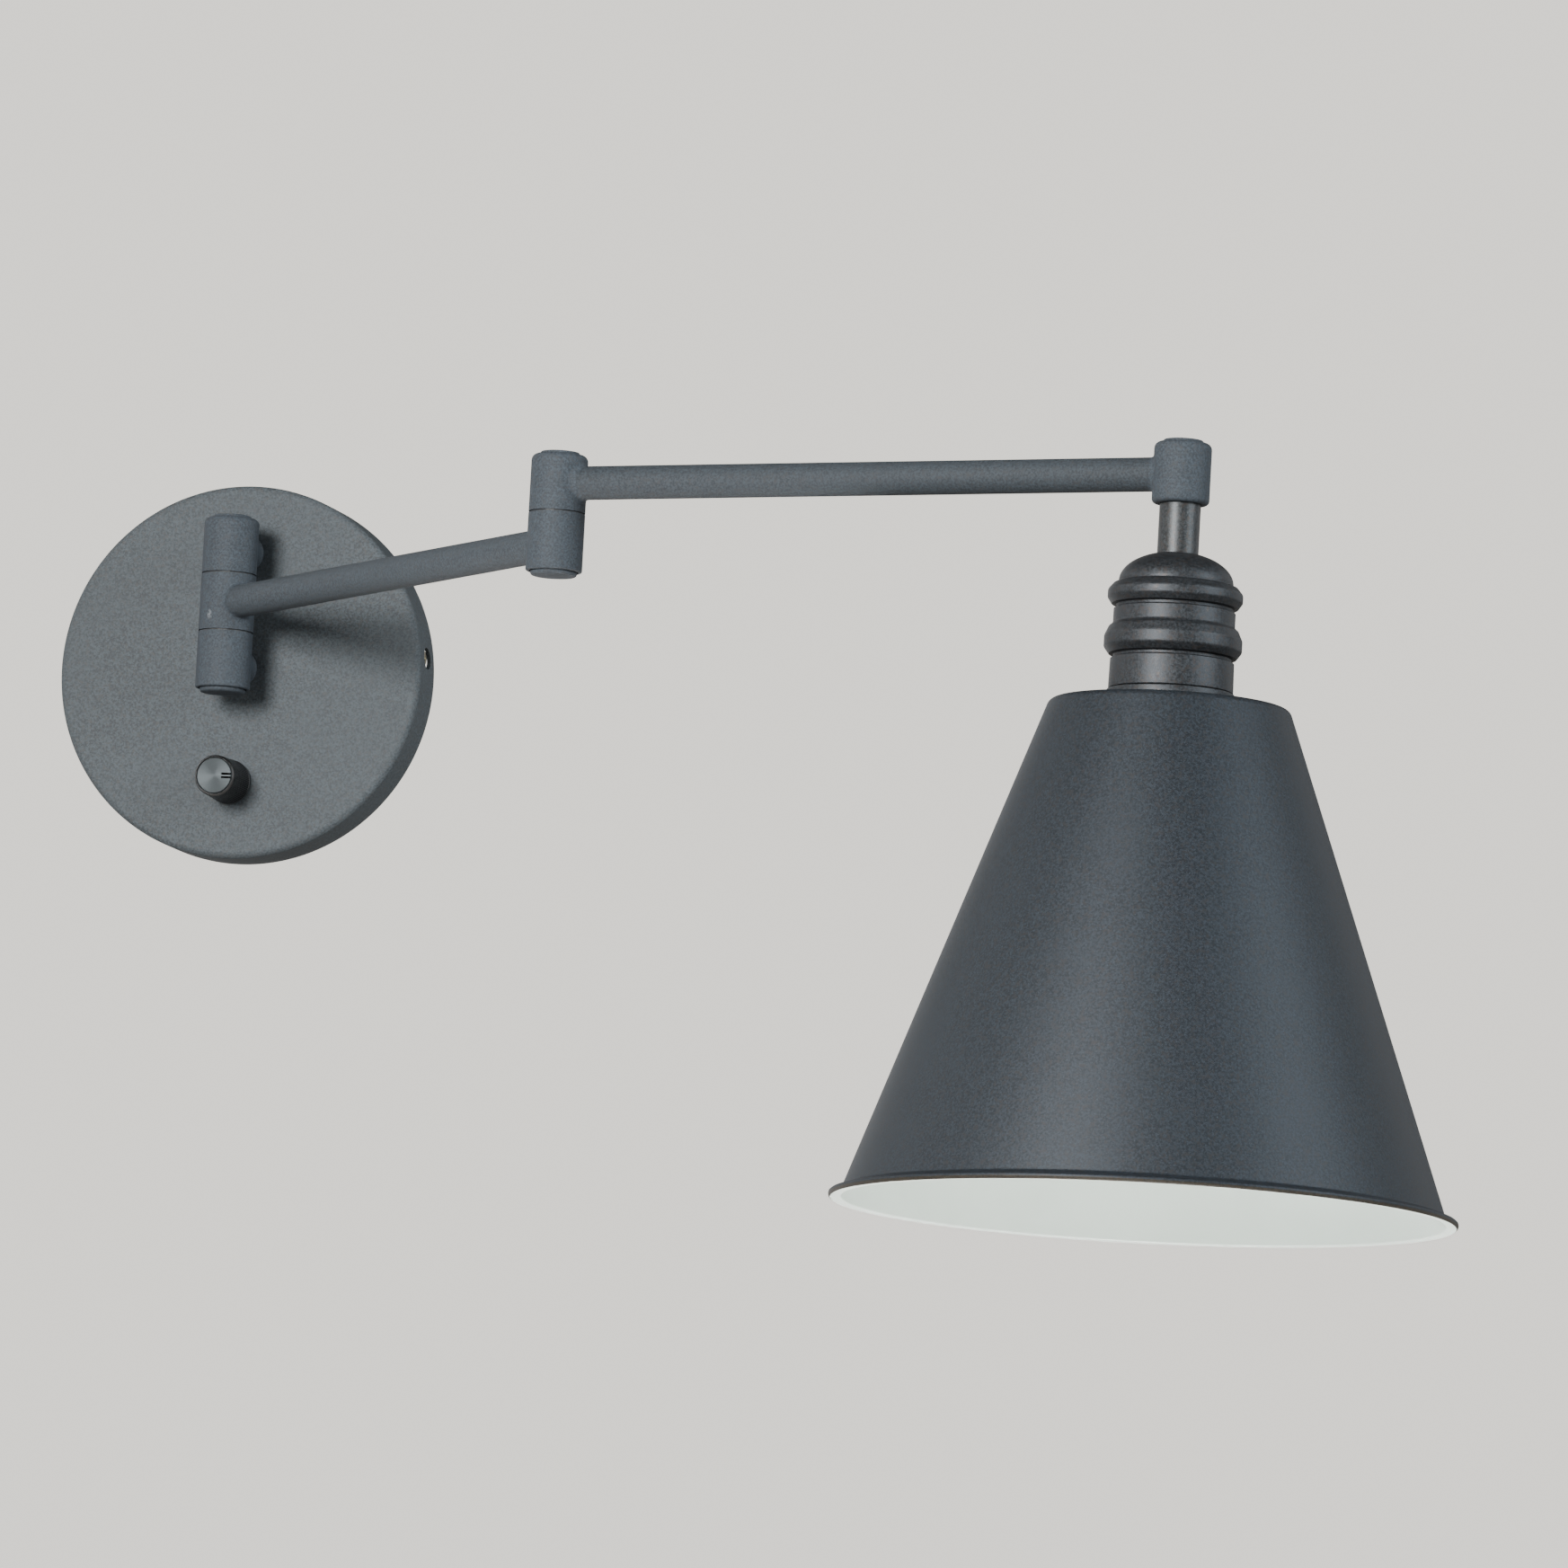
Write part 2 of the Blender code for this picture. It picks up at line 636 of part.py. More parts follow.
def build_knob(root):
    axis = new_empty("knob_axis", (KNOB_X, 0, KNOB_Z), 0.0, root)
    turn = {"rotation": (math.pi / 2, 0, 0)}
    shaft = [(0.0, SHAFT_END), (SHAFT_RADIUS, SHAFT_END), (SHAFT_RADIUS, SHAFT_START), (0.0, SHAFT_START)]
    turned("dimmer_shaft", shaft, BRASS, axis, SMALL, closed=False, **turn)
    seat = KNOB_FACE_RADIUS + GAP
    recess = KNOB_FRONT - 0.0014
    points = [
        (0.0, recess),
        (seat, recess),
        (seat, KNOB_FRONT),
        (KNOB_NOSE_RADIUS - 0.0004, KNOB_FRONT),
        (KNOB_NOSE_RADIUS, KNOB_FRONT - 0.0006),
        (KNOB_BASE_RADIUS, KNOB_BACK + 0.0004),
        (KNOB_BASE_RADIUS - 0.0003, KNOB_BACK),
        (KNOB_HOLLOW_RADIUS, KNOB_BACK),
        (KNOB_HOLLOW_RADIUS, KNOB_HOLLOW_END),
        (SHAFT_RADIUS + GAP, KNOB_HOLLOW_END),
        (SHAFT_RADIUS + GAP, SHAFT_END + 0.0003),
        (0.0, SHAFT_END + 0.0003),
    ]
    turned("knob_body", points, BLACK, axis, MEDIUM, closed=False, **turn)
    low, high = KNOB_FRONT - 0.0012, KNOB_FRONT + 0.0001
    disc = [(0.0, high), (KNOB_FACE_RADIUS, high), (KNOB_FACE_RADIUS, low), (0.0, low)]
    face = turned("knob_face", disc, ALUMINIUM, axis, MEDIUM, closed=False, **turn)
    start, end = (0.0036, -high - 0.001, -0.0005), (0.0056, -high + 0.0003, 0.0005)
    mark = cutter_box("knob_mark", start, end, axis)
    boolean(face, mark)


def build_canopy_wiring(root):
    """The leads that start in the canopy, and the connectors that join them to the house wiring."""
    centre = WALL_PIVOT_Y
    route = [
        (0.0215, -0.0090, 0.0245),
        (0.0208, -0.0088, 0.0190),
        (0.0140, -0.0060, 0.0090),
        (0.0040, -0.0050, 0.0025),
        (0.0, -0.0110, LOWER_LUG_Z),
        (0.0, -0.0200, LOWER_LUG_Z),
        (0.0, centre + 0.0045, LOWER_LUG_Z),
        (0.0, centre + 0.0008, LOWER_LUG_Z + 0.0035),
        (0.0, centre, LOWER_LUG_Z + 0.0095),
    ]
    lead("canopy_lead", route, MAIN_LEAD_RADIUS, LEAD, root)
    route = [
        (-0.0230, -0.0090, 0.0245),
        (-0.0232, -0.0088, 0.0190),
        (-0.0260, -0.0070, 0.0060),
        (-0.0210, -0.0065, -0.0180),
        (-0.0125, -0.0085, -0.0300),
    ]
    lead("dimmer_lead", route, THIN_LEAD_RADIUS, LEAD, root)
    route = [
        (0.0225, -0.0042, 0.0110),
        (0.0290, -0.0075, 0.0080),
        (0.0332, -0.0090, -0.0040),
        (0.0330, -0.0090, -0.0110),
        (0.0330, -0.0090, -0.0150),
    ]
    lead("earth_lead", route, THIN_LEAD_RADIUS, GREEN, root)
    connectors = [
        ("wire_connector_left", (-0.0230, -0.0090, 0.0251), 0.0),
        ("wire_connector_right", (0.0215, -0.0090, 0.0251), 0.0),
        ("wire_connector_earth", (0.0330, -0.0090, -0.0156), math.pi),
    ]
    for name, place, turn in connectors:
        points = [(0.0, 0.0145), (0.0028, 0.0140), (0.0034, 0.0125), (0.0045, 0.0), (0.0, 0.0)]
        turned(name, points, BLACK, root, SMALL, closed=False, location=place, rotation=(0, turn, 0))


# --- Arms ---


def build_arm_1(axis):
    """The first arm: its lug between the wall lugs, its tube and the lower half of the elbow."""
    knuckle = add_lug("arm_1_lug", axis, ARM_1_Z)
    cut_socket(knuckle, axis, ARM_1_Z, 1)
    add_arm_tube("arm_1_tube", axis, ARM_1_Z)
    elbow = add_lug("elbow_lug_lower", axis, ARM_1_Z, bottom="plug", x=ARM_LENGTH)
    cut_socket(elbow, axis, ARM_1_Z, -1, ARM_LENGTH)
    bottom, top = ARM_1_Z - LUG_HEIGHT / 2, ARM_2_Z + LUG_HEIGHT / 2
    pivot = add_pivot("elbow_pivot_tube", axis, bottom, top, ARM_LENGTH)
    low = (ARM_LENGTH - 0.006, -0.0030, ARM_1_Z - 0.0035)
    high = (ARM_LENGTH, 0.0030, ARM_1_Z + 0.0035)
    boolean(pivot, cutter_box("elbow_pivot_entry", low, high, axis))
    low = (ARM_LENGTH, -0.0040, ARM_2_Z - 0.0035)
    high = (ARM_LENGTH + 0.006, 0.0040, ARM_2_Z + 0.0035)
    boolean(pivot, cutter_box("elbow_pivot_window", low, high, axis))
    add_plug("elbow_plug", axis, bottom, ARM_LENGTH)
    add_cap("elbow_cap", axis, top, ARM_LENGTH)
    add_seam_washer("elbow_washer", axis, ARM_1_Z + LUG_HEIGHT / 2, ARM_LENGTH)
    route = [
        (0.0065, 0, ARM_1_Z),
        (ARM_LENGTH / 2, 0, ARM_1_Z - 0.0015),
        (ARM_LENGTH - 0.0080, 0, ARM_1_Z - 0.0008),
        (ARM_LENGTH - 0.0030, 0, ARM_1_Z + 0.0004),
        (ARM_LENGTH - 0.0006, 0, ARM_1_Z + 0.0040),
        (ARM_LENGTH, 0, ARM_1_Z + 0.0100),
        (ARM_LENGTH, 0, ARM_2_Z - 0.0040),
    ]
    lead("arm_1_lead", route, MAIN_LEAD_RADIUS, LEAD, axis)


def build_arm_2(axis):
    """The second arm: the upper half of the elbow, its tube and the body of the end joint."""
    elbow = add_lug("elbow_lug_upper", axis, ARM_2_Z, top="cap")
    cut_socket(elbow, axis, ARM_2_Z, 1)
    add_arm_tube("arm_2_tube", axis, ARM_2_Z)
    top, bottom = ARM_2_Z + LUG_HEIGHT / 2, ARM_2_Z - LUG_HEIGHT / 2
    chamber, mouth, web_bore = CAP_RADIUS + GAP, STEM_RADIUS + RUNNING, PIVOT_RADIUS + RUNNING
    points = arc(LUG_RADIUS - LUG_EDGE, top - LUG_EDGE, LUG_EDGE, LUG_EDGE, 90, 0, 3)
    points += arc(LUG_RADIUS - 2 * LUG_RIM, bottom + 2 * LUG_RIM, 2 * LUG_RIM, 2 * LUG_RIM, 0, -90, 3)
    points += [
        (mouth, bottom),
        (mouth, END_WEB_LOW),
        (web_bore, END_WEB_LOW),
        (web_bore, END_WEB_HIGH),
        (chamber, END_WEB_HIGH),
        (chamber, top),
    ]
    body = turned("end_joint_body", points, CHARCOAL, axis, COARSE, location=(ARM_LENGTH, 0, 0))
    cut_socket(body, axis, ARM_2_Z, -1, ARM_LENGTH)
    add_cap("end_joint_cap", axis, top, ARM_LENGTH, END_SPIGOT)
    route = [
        (0.0065, 0, ARM_2_Z),
        (ARM_LENGTH / 2, 0, ARM_2_Z - 0.0015),
        (ARM_LENGTH - 0.0066, 0, ARM_2_Z + 0.001),
    ]
    lead("arm_2_lead", route, MAIN_LEAD_RADIUS, LEAD, axis)


# --- Stem, cup, lampholder and shade ---


def build_stem(axis):
    """The stem: a shouldered tube that turns in the end joint and carries the cup."""
    shoulder = END_WEB_LOW - GAP
    foot = DOME_TOP + GAP
    end = 0.0030
    top = END_WEB_HIGH + 0.0052
    points = [
        (PIVOT_RADIUS, top),
        (PIVOT_RADIUS, shoulder),
        (STEM_RADIUS, shoulder),
        (STEM_RADIUS, foot),
        (PIVOT_RADIUS, foot),
        (PIVOT_RADIUS, end),
        (STEM_BORE, end),
        (STEM_BORE, top),
    ]
    turned("stem_tube", points, GUNMETAL, axis, COARSE)
    low = END_WEB_HIGH + GAP
    ring("end_joint_washer", CAP_RADIUS - 0.0001, PIVOT_RADIUS + GAP, low + 0.0004, low, NYLON, axis)
    place = (0, 0, low + 0.0004 + GAP)
    hex_nut("end_joint_nut", END_NUT_WIDTH, END_NUT_HEIGHT, PIVOT_RADIUS + GAP, BRASS, axis, place)
    place = (0, 0, DOME_TOP - CUP_WALL - CUP_NUT_HEIGHT - 0.0010)
    hex_nut("cup_nut", CUP_NUT_WIDTH, CUP_NUT_HEIGHT, PIVOT_RADIUS + GAP, STEEL, axis, place)
    route = [(0, 0, top - 0.001), (0.0006, 0, 0.024), (-0.0004, 0, 0.010), (0, 0, 0.0004)]
    lead("stem_lead", route, STEM_LEAD_RADIUS, LEAD, axis)


def build_cup(axis):
    """The turned socket cup: a dome, two beads with a neck between them, and a plain skirt."""
    hole = PIVOT_RADIUS + GAP
    height = DOME_TOP - DOME_BASE + 0.0009
    start = math.degrees(math.acos(0.42))
    points = [(hole, DOME_TOP)]
    points += arc(0.0, DOME_BASE, DOME_RADIUS, height, start, 0, 5)
    points += [(DOME_RADIUS - 0.0004, DOME_BASE - 0.0005), (DOME_RADIUS, DOME_BASE - 0.0009)]
    points += arc(UPPER_RING - 0.0026, 0.0004, 0.0026, 0.0030, 75, -55, 4)
    points += [(CUP_RADIUS - 0.0001, -0.0025), (CUP_RADIUS - 0.0002, -0.0086)]
    points += arc(LOWER_RING - 0.0032, -0.0146, 0.0032, 0.0056, 68, -25, 4)
    points += [(LOWER_RING - 0.0009, -0.0174), (CUP_RADIUS, -0.0178), (CUP_RADIUS, CUP_BOTTOM)]
    inner = CUP_RADIUS - CUP_WALL
    points += [(inner, CUP_BOTTOM), (inner, -0.0050), (DOME_RADIUS - CUP_WALL, 0.0010)]
    points += arc(0.0, DOME_BASE, DOME_RADIUS - CUP_WALL, height - CUP_WALL, 0, start + 5, 3)
    points += [(hole, DOME_TOP - CUP_WALL)]
    turned("socket_cup", points, GUNMETAL, axis, MEDIUM)
    top, bottom = CUP_BOTTOM - GAP, SHADE_TOP + GAP
    points = [(COLLAR_RADIUS - 0.0003, top), (COLLAR_RADIUS, top - 0.0005), (COLLAR_RADIUS, bottom)]
    points += [(HOLDER_RADIUS + GAP, bottom), (HOLDER_RADIUS + GAP, top)]
    turned("cup_collar", points, GUNMETAL, axis, MEDIUM)


def build_lampholder(axis):
    points = [
        (0.0120, HOLDER_TOP),
        (HOLDER_RADIUS, HOLDER_TOP - 0.0025),
        (HOLDER_RADIUS, HOLDER_BOTTOM),
        (HOLDER_BORE, HOLDER_BOTTOM),
        (HOLDER_BORE, HOLDER_TOP - 0.0105),
        (0.0024, HOLDER_TOP - 0.0105),
        (0.0024, HOLDER_TOP - 0.0030),
        (0.0050, HOLDER_TOP),
    ]
    turned("lampholder_body", points, BLACK, axis, COARSE)
    top, turns, samples = HOLDER_TOP - 0.0125, 6, 2
    depth = 0.0004
    outer, inner = [], []
    for i in range(turns * samples + 1):
        z = top - THREAD_PITCH * i / samples
        wave = depth * math.cos(math.tau * i / samples)
        outer.append((THREAD_RADIUS + wave - 0.0001, z))
        inner.append((THREAD_RADIUS + wave - 0.0006, z))
    turned("screw_shell", outer + inner[::-1], BRASS, axis, SMALL)
    low = HOLDER_TOP - 0.0122
    points = [(0.0118, low + 0.0014), (0.0118, low), (0.0024, low), (0.0024, low + 0.0014)]
    turned("contact_insulator", points, NYLON, axis, SMALL)
    points = [
        (0.0, low - GAP),
        (0.0035, low - GAP),
        (0.0035, low - 0.0012),
        (0.0022, low - 0.0020),
        (0.0, low - 0.0022),
    ]
    turned("centre_contact", points, BRASS, axis, SMALL, closed=False)
    top = SHADE_TOP - SHADE_WALL - GAP
    points = [
        (0.0190, top),
        (0.0195, top - 0.0006),
        (0.0195, top - 0.0050),
        (0.0186, top - 0.0060),
        (HOLDER_RADIUS + GAP, top - 0.0060),
        (HOLDER_RADIUS + GAP, top),
    ]
    turned("shade_ring", points, BLACK, axis, COARSE)


def shade_profile():
    """The shade's outer line: flat top, rounded shoulder, straight cone and an outward lip."""
    cone_r, cone_z = SHADE_CONE_END
    slope = math.atan2(cone_r - SHADE_SHOULDER, SHADE_TOP - cone_z)
    edge = SHADE_SHOULDER_EDGE
    centre = SHADE_SHOULDER - edge
    points = [(HOLDER_RADIUS + 0.0004, SHADE_TOP)]
    points += arc(centre, SHADE_TOP - edge, edge, edge, 90, math.degrees(slope), 3)
    points += [(cone_r, cone_z)]
    lip = SHADE_RIM_RADIUS - cone_r
    points += arc(cone_r + lip, cone_z - 0.0003, lip, 0.0021, 200, 262, 3)
    points += [(SHADE_RIM_RADIUS, SHADE_BOTTOM + 0.0008)]
    return points


def build_shade(axis):
    """The spun shade: its dark outside and white inside are one sheet."""
    shade = turned("shade", shade_profile(), GUNMETAL, axis, FINE, closed=False)
    shade.data.materials.append(WHITE)
    wall = shade.modifiers.new("wall", "SOLIDIFY")
    wall.thickness = SHADE_WALL
    wall.offset = -1.0
    wall.use_even_offset = True
    wall.material_offset = 1
    wall.material_offset_rim = 1


def main():
    root = new_empty("wall_mount", (0, 0, 0), 0.0)
    new_empty("wall_pivot_axis", (0, WALL_PIVOT_Y, 0), 0.0, root)
    swing_1 = new_empty("arm_1_axis", (0, WALL_PIVOT_Y, 0), ARM_1_HEADING, root)
    swing_2 = new_empty("arm_2_axis", (ARM_LENGTH, 0, 0), ARM_2_HEADING - ARM_1_HEADING, swing_1)
    swing_3 = new_empty("shade_axis", (ARM_LENGTH, 0, 0), -ARM_2_HEADING, swing_2)
    build_canopy(root)
    build_strap(root)
    build_screws(root)
    build_wall_lugs(root)
    build_dimmer(root)
    build_knob(root)
    build_canopy_wiring(root)
    build_arm_1(swing_1)
    build_arm_2(swing_2)
    build_stem(swing_3)
    build_cup(swing_3)
    build_lampholder(swing_3)
    build_shade(swing_3)


main()
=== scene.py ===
"""Looks of the swing arm wall sconce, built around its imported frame. All sizes are in metres."""

import json
import math

import bmesh
import bpy
from mathutils import Matrix, Vector


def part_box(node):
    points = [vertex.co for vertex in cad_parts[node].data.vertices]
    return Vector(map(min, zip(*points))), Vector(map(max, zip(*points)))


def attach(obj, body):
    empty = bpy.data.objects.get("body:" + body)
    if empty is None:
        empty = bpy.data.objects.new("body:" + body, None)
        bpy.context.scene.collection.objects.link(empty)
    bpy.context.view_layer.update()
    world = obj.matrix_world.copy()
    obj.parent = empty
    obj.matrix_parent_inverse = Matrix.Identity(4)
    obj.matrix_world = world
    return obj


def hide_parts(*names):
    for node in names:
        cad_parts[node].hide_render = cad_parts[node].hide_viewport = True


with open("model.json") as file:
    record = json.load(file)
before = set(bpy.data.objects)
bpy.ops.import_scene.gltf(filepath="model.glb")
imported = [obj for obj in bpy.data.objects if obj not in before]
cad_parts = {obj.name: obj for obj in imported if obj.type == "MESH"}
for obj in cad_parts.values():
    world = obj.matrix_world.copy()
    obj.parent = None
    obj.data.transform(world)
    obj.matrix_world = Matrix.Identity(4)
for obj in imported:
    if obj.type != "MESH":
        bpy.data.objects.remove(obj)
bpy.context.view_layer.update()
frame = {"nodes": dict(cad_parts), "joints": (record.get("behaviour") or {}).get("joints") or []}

# --- Places and sizes, read from the frame where it has them ---

JOINTS = {joint["name"]: Vector(joint["pos_m"]) for joint in frame["joints"]}
WALL_AXIS = Vector((*JOINTS["wall_swivel"].xy, 0.0))
ELBOW_AXIS = Vector((*JOINTS["elbow_swivel"].xy, 0.0))
END_AXIS = Vector((*JOINTS["shade_swivel"].xy, 0.0))
KNOB_AXIS = Vector((JOINTS["knob_turn"].x, 0.0, JOINTS["knob_turn"].z))


def upright(axis, heading=0.0):
    return Matrix.Translation(axis) @ Matrix.Rotation(heading, 4, "Z")


def heading_of(start, end):
    return math.atan2(end.y - start.y, end.x - start.x)


WALL = upright(WALL_AXIS)
ARM_1 = upright(WALL_AXIS, heading_of(WALL_AXIS, ELBOW_AXIS))
ARM_2 = upright(ELBOW_AXIS, heading_of(ELBOW_AXIS, END_AXIS))
HEAD = upright(END_AXIS)
FACING = Matrix.Rotation(math.pi / 2, 4, "X")  # a turned piece's +Z points into the room
KNOB = Matrix.Translation(KNOB_AXIS) @ FACING
ARM_LENGTH = (ELBOW_AXIS - WALL_AXIS).length


def height_of(node):
    low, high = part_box(node)
    return low.z, high.z


def half_width(node):
    low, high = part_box(node)
    return (high.x - low.x) / 2


def middle_of(node):
    return sum(height_of(node)) / 2


LUG_RADIUS = half_width("wall_lug_upper")
LUG_HEIGHT = 0.0178
LUG_BORE = 0.0050
LUG_TOP_EDGE = 0.0020
LUG_LOW_EDGE = 0.0006
SEAT_EDGE = 0.0001
CAP_RADIUS = half_width("wall_cap")
CAP_PROUD = 0.0010
CAP_GAP = 0.0003
CAP_SEAT = 0.0016
PLUG_RADIUS = half_width("wall_plug")
PLUG_PROUD = 0.0016
PLUG_GAP = 0.00038
PLUG_SEAT = 0.0017
SPIGOT = 0.0018  # how deep a cap or plug reaches into its lug
SEAM = 0.0004
SEAM_EDGE = 0.00008
TUBE_BORE = 0.0041
TUBE_INSET = 0.0065
ARM_RADIUS = (height_of("arm_1_tube")[1] - height_of("arm_1_tube")[0]) / 2
ARM_1_Z = middle_of("arm_1_tube")
ARM_2_Z = middle_of("arm_2_tube")
LOWER_LUG_Z = 2 * ARM_1_Z - ARM_2_Z
CAD_SEAM = ARM_2_Z - ARM_1_Z - LUG_HEIGHT
LUG_GROWTH = (CAD_SEAM - SEAM) / 2
END_RISE = 0.0006
END_DROP = 0.0004
END_LOW_EDGE = 0.0014
POST_RADIUS = 0.0056
STUD_RADIUS = 0.0042
WELD = 0.0016

CANOPY_RADIUS = half_width("canopy")
CANOPY_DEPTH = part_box("canopy")[1].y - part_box("canopy")[0].y
CANOPY_EDGE = 0.0023
CANOPY_WALL = 0.0012
BACK_EDGE = 0.0004
SIDE_HOLE_RADIUS = 0.0035
STUD_HOLE_RADIUS = 0.0044
DIMMER_HOLE_RADIUS = 0.0039
SIDE_SCREW = Vector((CANOPY_RADIUS, -0.0077, 0.0065))
SCREW_SINK = 0.0030

STEM_RADIUS = half_width("stem_tube")
DOME_TOP = height_of("socket_cup")[1]
CUP_BOTTOM = height_of("socket_cup")[0]
CUP_RADIUS = 0.01885
UPPER_RING = 0.0204
LOWER_RING = half_width("socket_cup")
COLLAR_RADIUS = half_width("cup_collar")
HOLDER_RADIUS = half_width("lampholder_body")
HOLDER_TOP = height_of("lampholder_body")[1]
HOLDER_BOTTOM = height_of("lampholder_body")[0]
HOLDER_BORE = 0.0139
THREAD_RADIUS = 0.0131
THREAD_PITCH = 0.0036
THREAD_DEPTH = 0.0004
SHELL_WALL = 0.0003
RING_RADIUS = 0.0195

SHADE_TOP = height_of("shade")[1]
SHADE_BOTTOM = height_of("shade")[0]
RIM_RADIUS = half_width("shade")
SHOULDER = 0.0362
SHOULDER_EDGE = 0.0028
CONE_END = (0.0903, -0.1823)
SHADE_WALL = 0.0010

KNOB_FRONT = -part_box("knob_face")[0].y
KNOB_BACK = 0.0169
KNOB_RADIUS = half_width("knob_body")
KNOB_NOSE = 0.0066
FACE_RADIUS = half_width("knob_face")


# --- Mesh helpers ---


def arc(centre_r, centre_z, radius_r, radius_z, start, end, count):
    """Points on an elliptic arc, with its angles in degrees from the radial direction."""
    found = []
    for i in range(count + 1):
        angle = math.radians(start + (end - start) * i / count)
        found.append((centre_r + radius_r * math.cos(angle), centre_z + radius_z * math.sin(angle)))
    return found


def rounded(corners, steps=5):
    """A profile whose corners (radius, height, rounding) are turned into small arcs."""
    found = []
    for i, corner in enumerate(corners):
        here = Vector(corner[:2])
        rounding = corner[2] if len(corner) > 2 else 0.0
        if rounding == 0.0 or i in (0, len(corners) - 1):
            found.append(tuple(here))
            continue
        to_last = (Vector(corners[i - 1][:2]) - here).normalized()
        to_next = (Vector(corners[i + 1][:2]) - here).normalized()
        half = to_last.angle(to_next) / 2
        start = here + to_last * rounding / math.tan(half)
        centre = here + (to_last + to_next).normalized() * rounding / math.sin(half)
        spoke = start - centre
        turn = math.pi - 2 * half
        if to_last.x * to_next.y - to_last.y * to_next.x > 0:
            turn = -turn
        for k in range(steps + 1):
            angle = turn * k / steps
            found.append(
                (
                    centre.x + spoke.x * math.cos(angle) - spoke.y * math.sin(angle),
                    centre.y + spoke.x * math.sin(angle) + spoke.y * math.cos(angle),
                )
            )
    return found


SHARP_ANGLE = 32


def finish_mesh(name, form, placed, materials, sharp=SHARP_ANGLE):
    """A new object from the form, smooth but for the edges above the sharp angle, in degrees."""
    mesh = bpy.data.meshes.new(name)
    form.to_mesh(mesh)
    form.free()
    mesh.shade_smooth()
    mesh.set_sharp_from_angle(angle=math.radians(sharp))
    for material in materials:
        mesh.materials.append(material)
    made = bpy.data.objects.new(name, mesh)
    bpy.context.scene.collection.objects.link(made)
    made.matrix_world = placed
    return made


def lathe(
    name, profile, material, placed, segments, closed=False, shape=None, others=(), sharp=SHARP_ANGLE
):
    """A turned piece about local Z. The profile runs down the outer side, and a closed one comes back up.

    shape(radius, height, angle) bends a radius, for ribs and threads. others are the further materials,
    each as (first step, material) of the part of the profile that takes it.
    """
    form = bmesh.new()
    rings = []
    for radius, height in profile:
        if radius == 0.0:
            rings.append([form.verts.new((0.0, 0.0, height))])
            continue
        row = []
        for k in range(segments):
            angle = math.tau * k / segments
            reach = shape(radius, height, angle) if shape else radius
            row.append(form.verts.new((reach * math.cos(angle), reach * math.sin(angle), height)))
        rings.append(row)
    steps = list(zip(rings, rings[1:]))
    if closed:
        steps.append((rings[-1], rings[0]))
    for index, (above, below) in enumerate(steps):
        for k in range(segments):
            following = (k + 1) % segments
            corners = [above[k % len(above)], below[k % len(below)]]
            corners += [below[following % len(below)], above[following % len(above)]]
            face = form.faces.new(list(dict.fromkeys(corners)))
            face.material_index = sum(index >= first for first, _ in others)
    materials = [material] + [other for _, other in others]
    return finish_mesh(name, form, placed, materials, sharp)


def show(piece, body, slot, *nodes):
    """The piece rides on a body and stands for these nodes, which it hides. slot is not used."""
    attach(piece, body)
    if nodes:
        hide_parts(*nodes)
    return piece


def cut(target, name, radius, start, end):
    """Takes a round hole out of the target, and removes the cutter."""
    start, end = Vector(start), Vector(end)
    form = bmesh.new()
    depth = (end - start).length
    bmesh.ops.create_cone(form, cap_ends=True, segments=48, radius1=radius, radius2=radius, depth=depth)
    turn = (end - start).to_track_quat("Z", "Y").to_matrix().to_4x4()
    cutter = finish_mesh(name, form, Matrix.Translation((start + end) / 2) @ turn, [])
    step = target.modifiers.new(name, "BOOLEAN")
    step.operation = "DIFFERENCE"
    step.object = cutter
    step.solver = "EXACT"
    bpy.context.view_layer.update()
    solid = target.evaluated_get(bpy.context.evaluated_depsgraph_get())
    mesh = bpy.data.meshes.new_from_object(solid)
    target.modifiers.clear()
    mesh.set_sharp_from_angle(angle=math.radians(SHARP_ANGLE))
    target.data = mesh
    bpy.data.objects.remove(cutter, do_unlink=True)


# --- Materials ---


